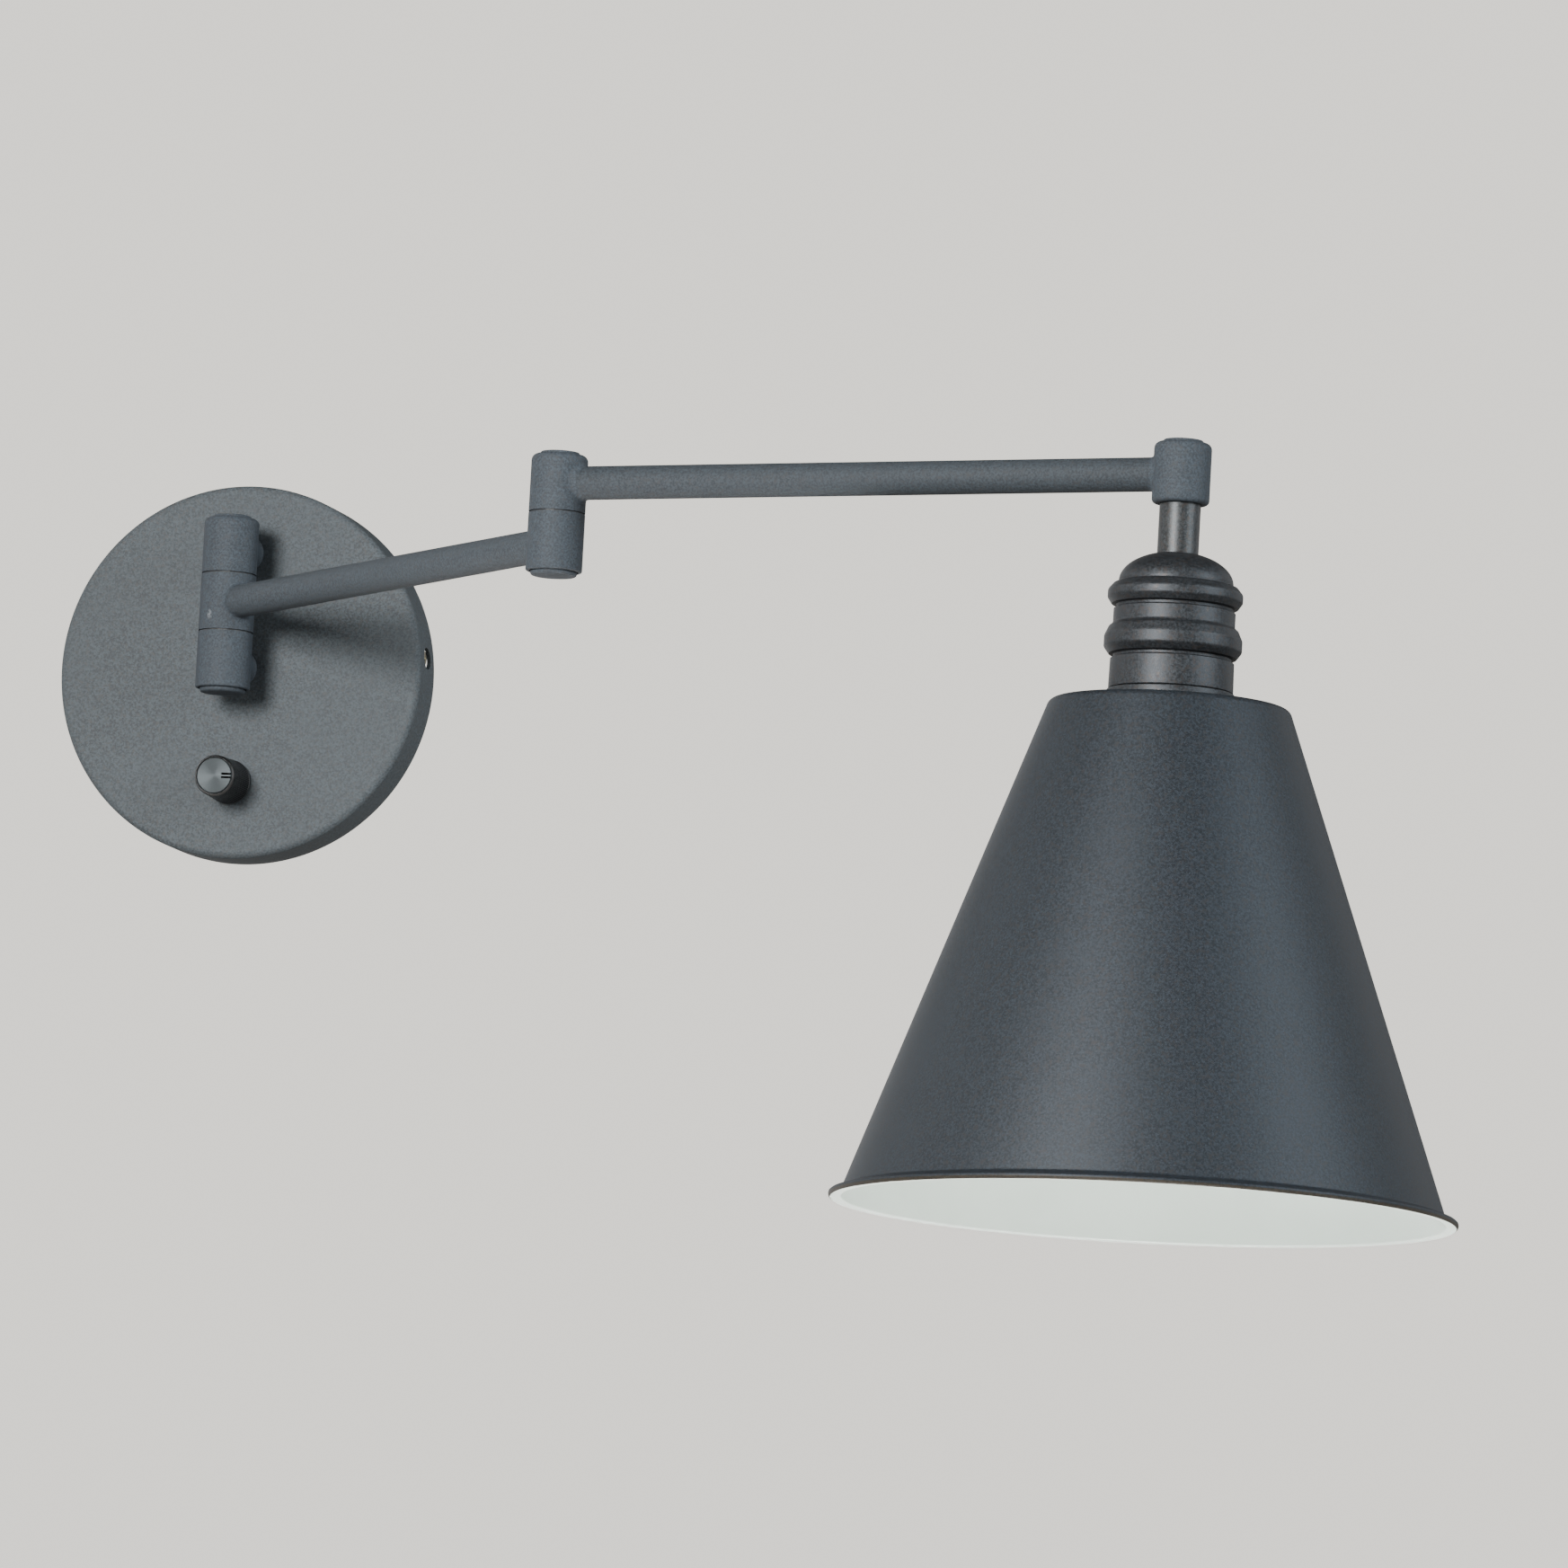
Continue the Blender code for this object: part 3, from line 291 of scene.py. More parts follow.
class Paint:
    """A material under construction, with short ways to add its nodes."""

    def __init__(self, name):
        self.material = bpy.data.materials.new(name)
        self.material.use_nodes = True
        self.nodes = self.material.node_tree.nodes
        self.links = self.material.node_tree.links
        self.shader = self.nodes["Principled BSDF"]
        self.place = self.nodes.new("ShaderNodeTexCoord").outputs["Object"]

    def set(self, **values):
        for name, value in values.items():
            self.shader.inputs[name.replace("_", " ")].default_value = value
        return self

    def noise(self, scale, detail=3.0, roughness=0.55, distortion=0.0):
        node = self.nodes.new("ShaderNodeTexNoise")
        node.inputs["Scale"].default_value = scale
        node.inputs["Detail"].default_value = detail
        node.inputs["Roughness"].default_value = roughness
        node.inputs["Distortion"].default_value = distortion
        self.links.new(self.place, node.inputs["Vector"])
        return node.outputs["Fac"]

    def spread(self, value, low, high, out_low=0.0, out_high=1.0):
        """Takes a value from one range to another, levelling off smoothly at the ends."""
        node = self.nodes.new("ShaderNodeMapRange")
        node.interpolation_type = "SMOOTHSTEP"
        ends = {"From Min": low, "From Max": high, "To Min": out_low, "To Max": out_high}
        for key, number in ends.items():
            node.inputs[key].default_value = number
        self.links.new(value, node.inputs["Value"])
        return node.outputs["Result"]

    def math(self, operation, first, second):
        node = self.nodes.new("ShaderNodeMath")
        node.operation = operation
        for socket, value in zip(node.inputs, (first, second)):
            if isinstance(value, (int, float)):
                socket.default_value = value
            else:
                self.links.new(value, socket)
        return node.outputs[0]

    def mix(self, factor, first, second):
        """A colour between two, each a tuple or a socket."""
        node = self.nodes.new("ShaderNodeMix")
        node.data_type = "RGBA"
        colour_a, colour_b, colour_out = node.inputs[6], node.inputs[7], node.outputs[2]
        self.links.new(factor, node.inputs["Factor"])
        for socket, value in ((colour_a, first), (colour_b, second)):
            if isinstance(value, tuple):
                socket.default_value = (*value, 1.0)
            else:
                self.links.new(value, socket)
        return colour_out

    def colour(self, value):
        self.links.new(value, self.shader.inputs["Base Color"])
        return self

    def roughness(self, value):
        self.links.new(value, self.shader.inputs["Roughness"])
        return self

    def bump(self, height, distance, strength):
        """Adds a bump, on top of any that is there already."""
        node = self.nodes.new("ShaderNodeBump")
        node.inputs["Strength"].default_value = strength
        node.inputs["Distance"].default_value = distance
        self.links.new(height, node.inputs["Height"])
        if self.shader.inputs["Normal"].links:
            self.links.new(self.shader.inputs["Normal"].links[0].from_socket, node.inputs["Normal"])
        self.links.new(node.outputs["Normal"], self.shader.inputs["Normal"])
        return self

    def near(self, point, radius):
        """1 at a point of the piece's own space, falling to 0 at the radius."""
        node = self.nodes.new("ShaderNodeVectorMath")
        node.operation = "DISTANCE"
        self.links.new(self.place, node.inputs[0])
        node.inputs[1].default_value = point
        return self.spread(node.outputs["Value"], 0.0, radius, 1.0, 0.0)


def shift(colour, amount):
    return tuple(channel * amount for channel in colour)


def tinted(colour, red, green, blue):
    return (colour[0] * red, colour[1] * green, colour[2] * blue)


RUBBED = (0.125, 0.137, 0.15)


def powder_coat(name, base, grain, marks=()):
    """Sand-textured powder coat, with fine grains, some of them warm.

    marks are rubbed spots, each as (point, radius) in the piece's own space.
    """
    paint = Paint(name)
    fine = paint.noise(2600.0, 2.0, 0.6)
    speckle = paint.noise(1500.0, 3.0, 0.65)
    tint = paint.noise(850.0, 3.0, 0.7)
    cloud = paint.noise(35.0, 4.0, 0.6, 0.3)
    body = paint.mix(paint.spread(speckle, 0.36, 0.64), shift(base, 0.66), shift(base, 1.40))
    warm = tinted(base, 1.22, 1.03, 0.92)
    body = paint.mix(paint.spread(tint, 0.50, 0.66, 0.0, 0.8), body, warm)
    body = paint.mix(paint.spread(cloud, 0.40, 0.70, 0.0, 0.25), body, shift(base, 1.15))
    for point, radius in marks:
        rubbed = paint.math("MULTIPLY", paint.near(point, radius), paint.spread(speckle, 0.34, 0.56))
        body = paint.mix(rubbed, body, RUBBED)
    paint.colour(body)
    paint.roughness(paint.spread(speckle, 0.3, 0.7, 0.70, 0.80))
    paint.bump(fine, 0.00006, grain)
    paint.bump(speckle, 0.00008, grain * 0.7)
    paint.set(Specular_IOR_Level=0.3)
    return paint.material


def gunmetal(name, base, metallic, rough):
    """Satin metallic lacquer with a fine sparkle of flakes. rough is its least and greatest roughness."""
    paint = Paint(name)
    flake = paint.noise(2600.0, 2.0, 0.65)
    grain = paint.noise(1300.0, 3.0, 0.6)
    tint = paint.noise(700.0, 3.0, 0.7)
    cloud = paint.noise(45.0, 4.0, 0.6, 0.3)
    body = paint.mix(paint.spread(grain, 0.36, 0.64), shift(base, 0.66), shift(base, 1.34))
    body = paint.mix(paint.spread(flake, 0.58, 0.76, 0.0, 0.6), body, shift(base, 2.6))
    warm = tinted(base, 1.32, 1.03, 0.86)
    body = paint.mix(paint.spread(tint, 0.50, 0.64, 0.0, 0.75), body, warm)
    body = paint.mix(paint.spread(cloud, 0.45, 0.75, 0.0, 0.3), body, shift(base, 1.2))
    paint.colour(body)
    paint.roughness(paint.spread(grain, 0.3, 0.7, *rough))
    paint.bump(flake, 0.00003, 0.35)
    paint.bump(grain, 0.00004, 0.3)
    paint.set(Metallic=metallic, Specular_IOR_Level=0.4)
    return paint.material


def enamel(name, base):
    """Sprayed satin white inside the shade, with a trace of orange peel."""
    paint = Paint(name)
    peel = paint.noise(420.0, 2.0, 0.5)
    cloud = paint.noise(30.0, 3.0, 0.5)
    paint.colour(paint.mix(paint.spread(cloud, 0.35, 0.7), shift(base, 0.97), shift(base, 1.02)))
    paint.roughness(paint.spread(peel, 0.3, 0.7, 0.34, 0.42))
    paint.bump(peel, 0.00004, 0.25)
    return paint.material


def moulded(name, base, rough, peel=900.0, shine=0.5):
    """Moulded plastic or phenolic with a faint texture."""
    paint = Paint(name)
    skin = paint.noise(peel, 3.0, 0.6)
    paint.colour(paint.mix(paint.spread(skin, 0.35, 0.65), shift(base, 0.85), shift(base, 1.2)))
    paint.roughness(paint.spread(skin, 0.3, 0.7, rough - 0.05, rough + 0.07))
    paint.bump(skin, 0.00003, 0.3)
    paint.set(Specular_IOR_Level=shine)
    return paint.material


def plated(name, base, rough):
    """Plated or turned metal, with fine scratches and a little tarnish."""
    paint = Paint(name)
    stretch = paint.nodes.new("ShaderNodeMapping")
    stretch.inputs["Scale"].default_value = (1.0, 1.0, 12.0)
    paint.links.new(paint.place, stretch.inputs["Vector"])
    paint.place = stretch.outputs["Vector"]
    lines = paint.noise(400.0, 4.0, 0.7)
    cloud = paint.noise(120.0, 3.0, 0.6)
    paint.colour(paint.mix(paint.spread(cloud, 0.35, 0.7), shift(base, 0.78), shift(base, 1.05)))
    paint.roughness(paint.spread(lines, 0.3, 0.7, rough - 0.08, rough + 0.12))
    paint.bump(lines, 0.00002, 0.25)
    paint.set(Metallic=1.0)
    return paint.material


def spun(name, base):
    """Spun aluminium: fine rings about the piece's own axis, which draw out the highlights."""
    paint = Paint(name)
    rings = paint.nodes.new("ShaderNodeTexWave")
    rings.wave_type = "RINGS"
    rings.rings_direction = "Z"
    rings.inputs["Scale"].default_value = 1500.0
    rings.inputs["Distortion"].default_value = 1.5
    rings.inputs["Detail"].default_value = 3.0
    paint.links.new(paint.place, rings.inputs["Vector"])
    paint.colour(paint.mix(rings.outputs["Fac"], shift(base, 0.8), shift(base, 1.15)))
    paint.bump(rings.outputs["Fac"], 0.00001, 0.3)
    tangent = paint.nodes.new("ShaderNodeTangent")
    tangent.direction_type = "RADIAL"
    tangent.axis = "Z"
    paint.links.new(tangent.outputs["Tangent"], paint.shader.inputs["Tangent"])
    paint.set(Metallic=1.0, Roughness=0.42, Anisotropic=0.9, Anisotropic_Rotation=0.25)
    return paint.material


CHARCOAL = (0.0278, 0.0348, 0.0420)
LUG_CHARCOAL = (0.0262, 0.0334, 0.0416)
CANOPY_CHARCOAL = (0.0395, 0.0472, 0.0530)
CANOPY_MARKS = [((0.0463, -0.0140, 0.0), 0.0012)]
CANOPY_COAT = powder_coat("canopy_coat", CANOPY_CHARCOAL, 0.6, CANOPY_MARKS)
ARM_COAT = powder_coat("arm_coat", CHARCOAL, 0.45)
# Arm 2's coat is the arm coat painted a shade darker: painted shade for the lesser light that falls on
# arm 2.
ARM_2_PAINTED_SHADE_COAT = powder_coat("arm_2_coat_painted_shade", shift(CHARCOAL, 0.86), 0.45)
LUG_COAT = powder_coat("lug_coat", LUG_CHARCOAL, 0.4)
WORN = ARM_1.inverted() @ (WALL_AXIS + Vector((-0.0033, -0.0081, ARM_1_Z - 0.0050)))
WORN_MARKS = [(WORN, 0.0014), (WORN + Vector((0, 0, 0.0012)), 0.0011)]
WORN_COAT = powder_coat("worn_lug_coat", LUG_CHARCOAL, 0.4, WORN_MARKS)
GUNMETAL = gunmetal("gunmetal", (0.0270, 0.0302, 0.0342), 0.7, (0.46, 0.60))
STEM_METAL = gunmetal("stem_gunmetal", (0.034, 0.037, 0.0395), 0.7, (0.42, 0.52))
SHADE_METAL = gunmetal("shade_gunmetal", (0.0162, 0.0210, 0.0270), 0.5, (0.54, 0.60))
SHADE_EDGE = gunmetal("shade_edge", (0.020, 0.0175, 0.013), 0.3, (0.5, 0.6))
WHITE = enamel("white_enamel", (0.80, 0.90, 0.85))
BLACK = moulded("black_plastic", (0.0035, 0.0038, 0.0042), 0.34, shine=0.42)
INK = moulded("pointer_ink", (0.001, 0.001, 0.001), 0.8, shine=0.0)
PHENOLIC = moulded("black_phenolic", (0.014, 0.014, 0.015), 0.30, 500.0)
NYLON = moulded("dark_nylon", (0.007, 0.0075, 0.008), 0.6)
INSULATOR = moulded("insulator", (0.45, 0.42, 0.36), 0.5)
INSULATION = moulded("lead_insulation", (0.02, 0.02, 0.022), 0.45)
EARTH = moulded("earth_green", (0.03, 0.22, 0.06), 0.4)
ZINC = plated("zinc_steel", (0.55, 0.56, 0.56), 0.33)
BRASS = plated("brass", (0.72, 0.53, 0.24), 0.28)
SCREW_BRASS = plated("yellow_zinc", (0.36, 0.33, 0.25), 0.30)
CHAMFER = plated("turned_edge", (0.075, 0.073, 0.072), 0.4)
SPUN = spun("spun_aluminium", (0.0210, 0.0240, 0.0255))


# --- Wall side ---


def build_canopy():
    """The pressed drum, open to the wall, with round holes in its sides and in its face."""
    flat = CANOPY_RADIUS - CANOPY_EDGE
    inner = CANOPY_EDGE - CANOPY_WALL
    profile = [(0.0, CANOPY_DEPTH), (flat - 0.0012, CANOPY_DEPTH), (flat - 0.0003, CANOPY_DEPTH)]
    profile += arc(flat, CANOPY_DEPTH - CANOPY_EDGE, CANOPY_EDGE, CANOPY_EDGE, 90, 0, 12)
    profile += rounded(
        [
            (CANOPY_RADIUS, 0.004),
            (CANOPY_RADIUS, 0.0, BACK_EDGE),
            (CANOPY_RADIUS - CANOPY_WALL, 0.0, BACK_EDGE),
            (CANOPY_RADIUS - CANOPY_WALL, 0.004),
        ],
        3,
    )
    profile += arc(flat, CANOPY_DEPTH - CANOPY_EDGE, inner, inner, 0, 90, 6)
    profile += [(flat - 0.0006, CANOPY_DEPTH - CANOPY_WALL), (0.0, CANOPY_DEPTH - CANOPY_WALL)]
    canopy = lathe("canopy_shell", profile, CANOPY_COAT, FACING, 256)
    through = 0.01
    for side in (-1, 1):
        start = (side * (CANOPY_RADIUS - through), SIDE_SCREW.y, SIDE_SCREW.z)
        end = (side * (CANOPY_RADIUS + through), SIDE_SCREW.y, SIDE_SCREW.z)
        cut(canopy, "side_hole", SIDE_HOLE_RADIUS, start, end)
    for x, z, radius in (
        (0.0, ARM_2_Z, STUD_HOLE_RADIUS),
        (0.0, LOWER_LUG_Z, STUD_HOLE_RADIUS),
        (KNOB_AXIS.x, KNOB_AXIS.z, DIMMER_HOLE_RADIUS),
    ):
        start = (x, -CANOPY_DEPTH - through, z)
        end = (x, -CANOPY_DEPTH + through, z)
        cut(canopy, "face_hole", radius, start, end)
    show(canopy, "wall", "charcoal_coat", "canopy")


def plain_end(height, side):
    """Where a lug's plain end lies: side is +1 above its middle and -1 below."""
    return height + side * (LUG_HEIGHT / 2 + LUG_GROWTH)


def lug_profile(middle, cap, plug):
    """A lug's closed profile. Its ends are plain, or take a cap above and a plug below."""
    if cap:
        top = middle + LUG_HEIGHT / 2
        seat = CAP_RADIUS + CAP_GAP
        corners = [(seat, top - CAP_SEAT), (seat, top, SEAT_EDGE), (LUG_RADIUS, top, LUG_TOP_EDGE)]
    else:
        top = plain_end(middle, 1)
        corners = [(LUG_BORE, top), (LUG_RADIUS, top, SEAM_EDGE)]
    if plug:
        low = middle - LUG_HEIGHT / 2
        seat = PLUG_RADIUS + PLUG_GAP
        corners += [(LUG_RADIUS, low, LUG_LOW_EDGE), (seat, low, SEAT_EDGE), (seat, low + PLUG_SEAT)]
    else:
        low = plain_end(middle, -1)
        corners += [(LUG_RADIUS, low, SEAM_EDGE), (LUG_BORE, low)]
    return rounded(corners, 8)


def make_lug(name, placed, middle, cap=False, plug=False, coat=LUG_COAT):
    return lathe(name, lug_profile(middle, cap, plug), coat, placed, 144, closed=True)


def make_cap(name, placed, top):
    """A cap that stands a little proud, slightly crowned, with a small round edge."""
    edge, edge_drop = 0.0004, 0.0002
    slope, crown = 0.0030, 0.0005
    high = top + CAP_PROUD
    points = [(0.0, high)]
    points += arc(CAP_RADIUS - edge - slope, high - crown, slope, crown, 90, 20, 6)
    points += arc(CAP_RADIUS - edge, high - edge - edge_drop, edge, edge, 60, 0, 4)
    points += [(CAP_RADIUS, top - SPIGOT), (0.0, top - SPIGOT)]
    return lathe(name, points, LUG_COAT, placed, 96)


def make_plug(name, placed, low):
    """The plug below a knuckle: a button with a well rounded edge and a shallow crown."""
    edge, edge_rise = 0.0011, 0.0002
    crown = 0.00003
    points = [(0.0, low + SPIGOT), (PLUG_RADIUS, low + SPIGOT)]
    points += arc(PLUG_RADIUS - edge, low - PLUG_PROUD + edge + edge_rise, edge, edge, 0, -70, 8)
    points += [(PLUG_RADIUS * 0.5, low - PLUG_PROUD + crown), (0.0, low - PLUG_PROUD)]
    return lathe(name, points, LUG_COAT, placed, 96)


def build_wall_lugs():
    """The two fixed lugs with the posts that hold them off the canopy."""
    back = -WALL_AXIS.y - CANOPY_DEPTH
    foot = POST_RADIUS + 0.0003
    inside = 0.005  # the post's end, hidden in the lug
    thread_root, thread_pitch = 0.0039, 0.0010
    thread_end = back + 0.0079
    lugs = (("upper", ARM_2_Z, True, False), ("lower", LOWER_LUG_Z, False, True))
    for name, middle, cap, plug in lugs:
        lug = make_lug(f"wall_lug_{name}_fine", WALL, middle, cap, plug)
        lengthwise = WALL @ Matrix.Translation((0, 0, middle)) @ Matrix.Rotation(-math.pi / 2, 4, "X")
        post = lathe(
            f"wall_post_{name}",
            rounded(
                [
                    (0.0, back - 0.0002),
                    (foot, back - 0.0002, 0.0003),
                    (foot, back - 0.0011, 0.0003),
                    (POST_RADIUS, back - 0.0016, 0.0004),
                    (POST_RADIUS, inside),
                    (0.0, inside),
                ],
                5,
            ),
            LUG_COAT,
            lengthwise,
            96,
        )
        stud = lathe(
            f"wall_stud_{name}",
            [(0.0, back + 0.0085), (0.0036, back + 0.0085), (STUD_RADIUS, thread_end)]
            + thread_rows(STUD_RADIUS, thread_root, thread_end, back + 0.0018, thread_pitch)
            + [(STUD_RADIUS, back - 0.001), (0.0, back - 0.001)],
            ZINC,
            lengthwise,
            48,
        )
        show(lug, "wall", "charcoal_coat", f"wall_lug_{name}")
        show(post, "wall", "charcoal_coat")
        show(stud, "wall", "zinc_steel")
    upper_cap = make_cap("wall_cap_fine", WALL, ARM_2_Z + LUG_HEIGHT / 2)
    show(upper_cap, "wall", "charcoal_coat", "wall_cap")
    lower_plug = make_plug("wall_plug_fine", WALL, LOWER_LUG_Z - LUG_HEIGHT / 2)
    show(lower_plug, "wall", "charcoal_coat", "wall_plug")


def thread_rows(outer, root, high, low, pitch):
    """A short thread as plain rows down a profile."""
    rows = []
    for k in range(int((high - low) / pitch)):
        rows += [(root, high - (k + 0.5) * pitch), (outer, high - (k + 1) * pitch)]
    return rows


def screw_head(name, radius, height, placed, material):
    """A pan head with a cross recess pressed into it."""
    points = [(0.0, height * 0.55), (radius * 0.16, height * 0.6), (radius * 0.30, height * 0.97)]
    points += arc(radius * 0.55, height * 0.45, radius * 0.45, height * 0.55, 75, 0, 6)
    shank, shank_end = radius * 0.65, -0.008
    points += [(radius, 0.0), (shank, 0.0), (shank, shank_end), (0.0, shank_end)]

    def crossed(reach, level, angle):
        if reach <= radius * 0.3 and level > 0:
            return reach * (1.0 + 0.55 * max(0.0, math.cos(4 * angle)) ** 2)
        return reach

    return lathe(name, points, material, placed, 64, shape=crossed)


def build_side_screws():
    head_radius, head_height = 0.0027, 0.0019
    for name, side in (("left", -1), ("right", 1)):
        place = Matrix.Translation((side * (CANOPY_RADIUS - SCREW_SINK), SIDE_SCREW.y, SIDE_SCREW.z))
        turn = Matrix.Rotation(side * math.pi / 2, 4, "Y")
        head = screw_head(f"side_screw_{name}", head_radius, head_height, place @ turn, SCREW_BRASS)
        show(head, "wall", "zinc_steel", f"canopy_screw_{name}")


def build_knob():
    """The dimmer knob: a knurled body with a turned chamfer, and a spun face with two pointer lines."""
    front = KNOB_FRONT - 0.0001
    ribs, depth, knurled_from = 72, 0.00016, 0.0062
    pocket, pocket_end = 0.0060, 0.0220

    def knurl(radius, height, angle):
        if KNOB_BACK + 0.0008 < height < front - 0.0009 and radius > knurled_from:
            return radius - depth * (0.5 - 0.5 * math.cos(ribs * angle))
        return radius

    seat = FACE_RADIUS + 0.0001
    points = [
        (0.0, front - 0.0010),
        (seat, front - 0.0010),
        (seat, front - 0.0001),
        (seat + 0.00015, front),
        (KNOB_NOSE - 0.0005, front),
        (KNOB_NOSE - 0.00008, front - 0.0006),
        (KNOB_NOSE, front - 0.00085),
        (KNOB_NOSE, front - 0.0010),
        (KNOB_RADIUS - 0.00012, KNOB_BACK + 0.0009),
        (KNOB_RADIUS, KNOB_BACK + 0.0007),
        (KNOB_RADIUS, KNOB_BACK + 0.0003),
        (KNOB_RADIUS - 0.0003, KNOB_BACK),
        (pocket, KNOB_BACK),
        (pocket, pocket_end),
        (0.0, pocket_end),
    ]
    chamfer_step = 4
    others = ((chamfer_step, CHAMFER), (chamfer_step + 1, BLACK))
    body = lathe("knob_body_fine", points, BLACK, KNOB, ribs * 6, shape=knurl, others=others, sharp=40)
    show(body, "knob", "black_plastic", "knob_body")
    face = lathe(
        "knob_face_fine",
        [(0.0, front + 0.00005), (FACE_RADIUS - 0.0003, front + 0.00005), (FACE_RADIUS, front - 0.0002)]
        + [(FACE_RADIUS, front - 0.0009), (0.0, front - 0.0009)],
        SPUN,
        KNOB,
        128,
    )
    show(face, "knob", "spun_aluminium", "knob_face")
    line_from, line_to = 0.0024, 0.0056
    line_gap, half_line, line_height = 0.00056, 0.00031, 0.00014
    line_edge = 0.00003
    for name, side in (("upper", 1), ("lower", -1)):
        line = bar(
            f"knob_pointer_{name}",
            (line_from, side * line_gap - half_line, front),
            (line_to, side * line_gap + half_line, front + line_height),
            line_edge,
            INK,
            KNOB,
        )
        show(line, "knob", "black_plastic")


def bar(name, low, high, edge, material, placed):
    """A small bar with bevelled edges between two corners."""
    low, high = Vector(low), Vector(high)
    form = bmesh.new()
    bmesh.ops.create_cube(form, size=1.0)
    bmesh.ops.scale(form, vec=high - low, verts=form.verts)
    bmesh.ops.translate(form, vec=(low + high) / 2, verts=form.verts)
    bmesh.ops.bevel(form, geom=form.edges[:], offset=edge, segments=2, affect="EDGES", profile=0.5)
    return finish_mesh(name, form, placed, [material], 60)


# --- Arms ---


def make_tube(name, placed, height, coat):
    start, end = TUBE_INSET, ARM_LENGTH - TUBE_INSET
    lying = placed @ Matrix.Translation((0, 0, height)) @ Matrix.Rotation(math.pi / 2, 4, "Y")
    points = [(TUBE_BORE, end), (ARM_RADIUS, end), (ARM_RADIUS, start), (TUBE_BORE, start)]
    return lathe(name, points, coat, lying, 96, closed=True)


def make_weld(name, placed, x, side, height):
    """The small fillet where an arm tube meets a lug, all round the tube."""
    around, across = 96, 8
    clear = 0.00002
    sunk = 0.0010
    form = bmesh.new()
    rows = []
    for k in range(around):
        angle = math.tau * k / around
        cosine, sine = math.cos(angle), math.sin(angle)

        def on_lug(radius):
            return math.sqrt(LUG_RADIUS**2 - (radius * cosine) ** 2)

        skin = ARM_RADIUS + clear
        wide = ARM_RADIUS + WELD
        toe = Vector((on_lug(skin) + WELD, skin * cosine, skin * sine))
        foot = Vector((on_lug(wide) + clear, wide * cosine, wide * sine))
        corner = Vector((on_lug(skin) + clear, skin * cosine, skin * sine))
        row = []
        for i in range(across + 1):
            part = i / across
            row.append((1 - part) ** 2 * toe + 2 * part * (1 - part) * corner + part**2 * foot)
        row.append(Vector((corner.x - sunk, corner.y * 0.9, corner.z * 0.9)))
        rows.append([form.verts.new((x + side * spot.x, spot.y, height + spot.z)) for spot in row])
    for row, after in zip(rows, rows[1:] + rows[:1]):
        for i in range(len(row)):
            above = (i + 1) % len(row)
            form.faces.new((row[i], row[above], after[above], after[i]))
    bmesh.ops.recalc_face_normals(form, faces=form.faces)
    return finish_mesh(name, form, placed, [LUG_COAT], 50)


def build_arm_1():
    low = ARM_1_Z - LUG_HEIGHT / 2
    elbow = ARM_1 @ Matrix.Translation((ARM_LENGTH, 0, 0))
    middle = make_lug("arm_1_lug_fine", ARM_1, ARM_1_Z, coat=WORN_COAT)
    show(middle, "arm_1", "charcoal_coat", "arm_1_lug")
    tube = make_tube("arm_1_tube_fine", ARM_1, ARM_1_Z, ARM_COAT)
    show(tube, "arm_1", "charcoal_coat", "arm_1_tube")
    lower = make_lug("elbow_lug_lower_fine", elbow, ARM_1_Z, plug=True)
    show(lower, "arm_1", "charcoal_coat", "elbow_lug_lower")
    show(make_plug("elbow_plug_fine", elbow, low), "arm_1", "charcoal_coat", "elbow_plug")
    cap = make_cap("elbow_cap_fine", elbow, ARM_2_Z + LUG_HEIGHT / 2)
    show(cap, "arm_1", "charcoal_coat", "elbow_cap")
    for name, x, side in (("wall", 0.0, 1), ("elbow", ARM_LENGTH, -1)):
        show(make_weld(f"arm_1_{name}_weld", ARM_1, x, side, ARM_1_Z), "arm_1", "charcoal_coat")


def build_arm_2():
    end = ARM_2 @ Matrix.Translation((ARM_LENGTH, 0, 0))
    high = ARM_2_Z + LUG_HEIGHT / 2 + END_RISE
    low = ARM_2_Z - LUG_HEIGHT / 2 - END_DROP
    upper = make_lug("elbow_lug_upper_fine", ARM_2, ARM_2_Z, cap=True)
    show(upper, "arm_2", "charcoal_coat", "elbow_lug_upper")
    # Arm 2's tube takes the coat with painted shade, darker than arm 1's.
    tube = make_tube("arm_2_tube_fine", ARM_2, ARM_2_Z, ARM_2_PAINTED_SHADE_COAT)
    show(tube, "arm_2", "charcoal_coat", "arm_2_tube")
    mouth = STEM_RADIUS + 0.00015
    corners = [
        (CAP_RADIUS + CAP_GAP, high - CAP_SEAT),
        (CAP_RADIUS + CAP_GAP, high, SEAT_EDGE),
        (LUG_RADIUS, high, LUG_TOP_EDGE),
        (LUG_RADIUS, low, END_LOW_EDGE),
        (mouth, low, 0.0002),
        (mouth, low + 0.0030),
    ]
    body = lathe("end_joint_fine", rounded(corners, 8), LUG_COAT, end, 144, closed=True)
    show(body, "arm_2", "charcoal_coat", "end_joint_body")
    show(make_cap("end_joint_cap_fine", end, high), "arm_2", "charcoal_coat", "end_joint_cap")
    for name, x, side in (("elbow", 0.0, 1), ("end", ARM_LENGTH, -1)):
        show(make_weld(f"arm_2_{name}_weld", ARM_2, x, side, ARM_2_Z), "arm_2", "charcoal_coat")


# --- Stem, cup, lampholder and shade ---


def build_stem():
    bore = 0.0034
    hidden = 0.0028  # how far the stem reaches into the end joint
    low, high = DOME_TOP + 0.0001, ARM_2_Z - LUG_HEIGHT / 2 + hidden
    points = [(bore, high), (STEM_RADIUS, high), (STEM_RADIUS, low), (bore, low)]
    stem = lathe("stem_fine", points, STEM_METAL, HEAD, 96, closed=True)
    show(stem, "shade_head", "gunmetal", "stem_tube")


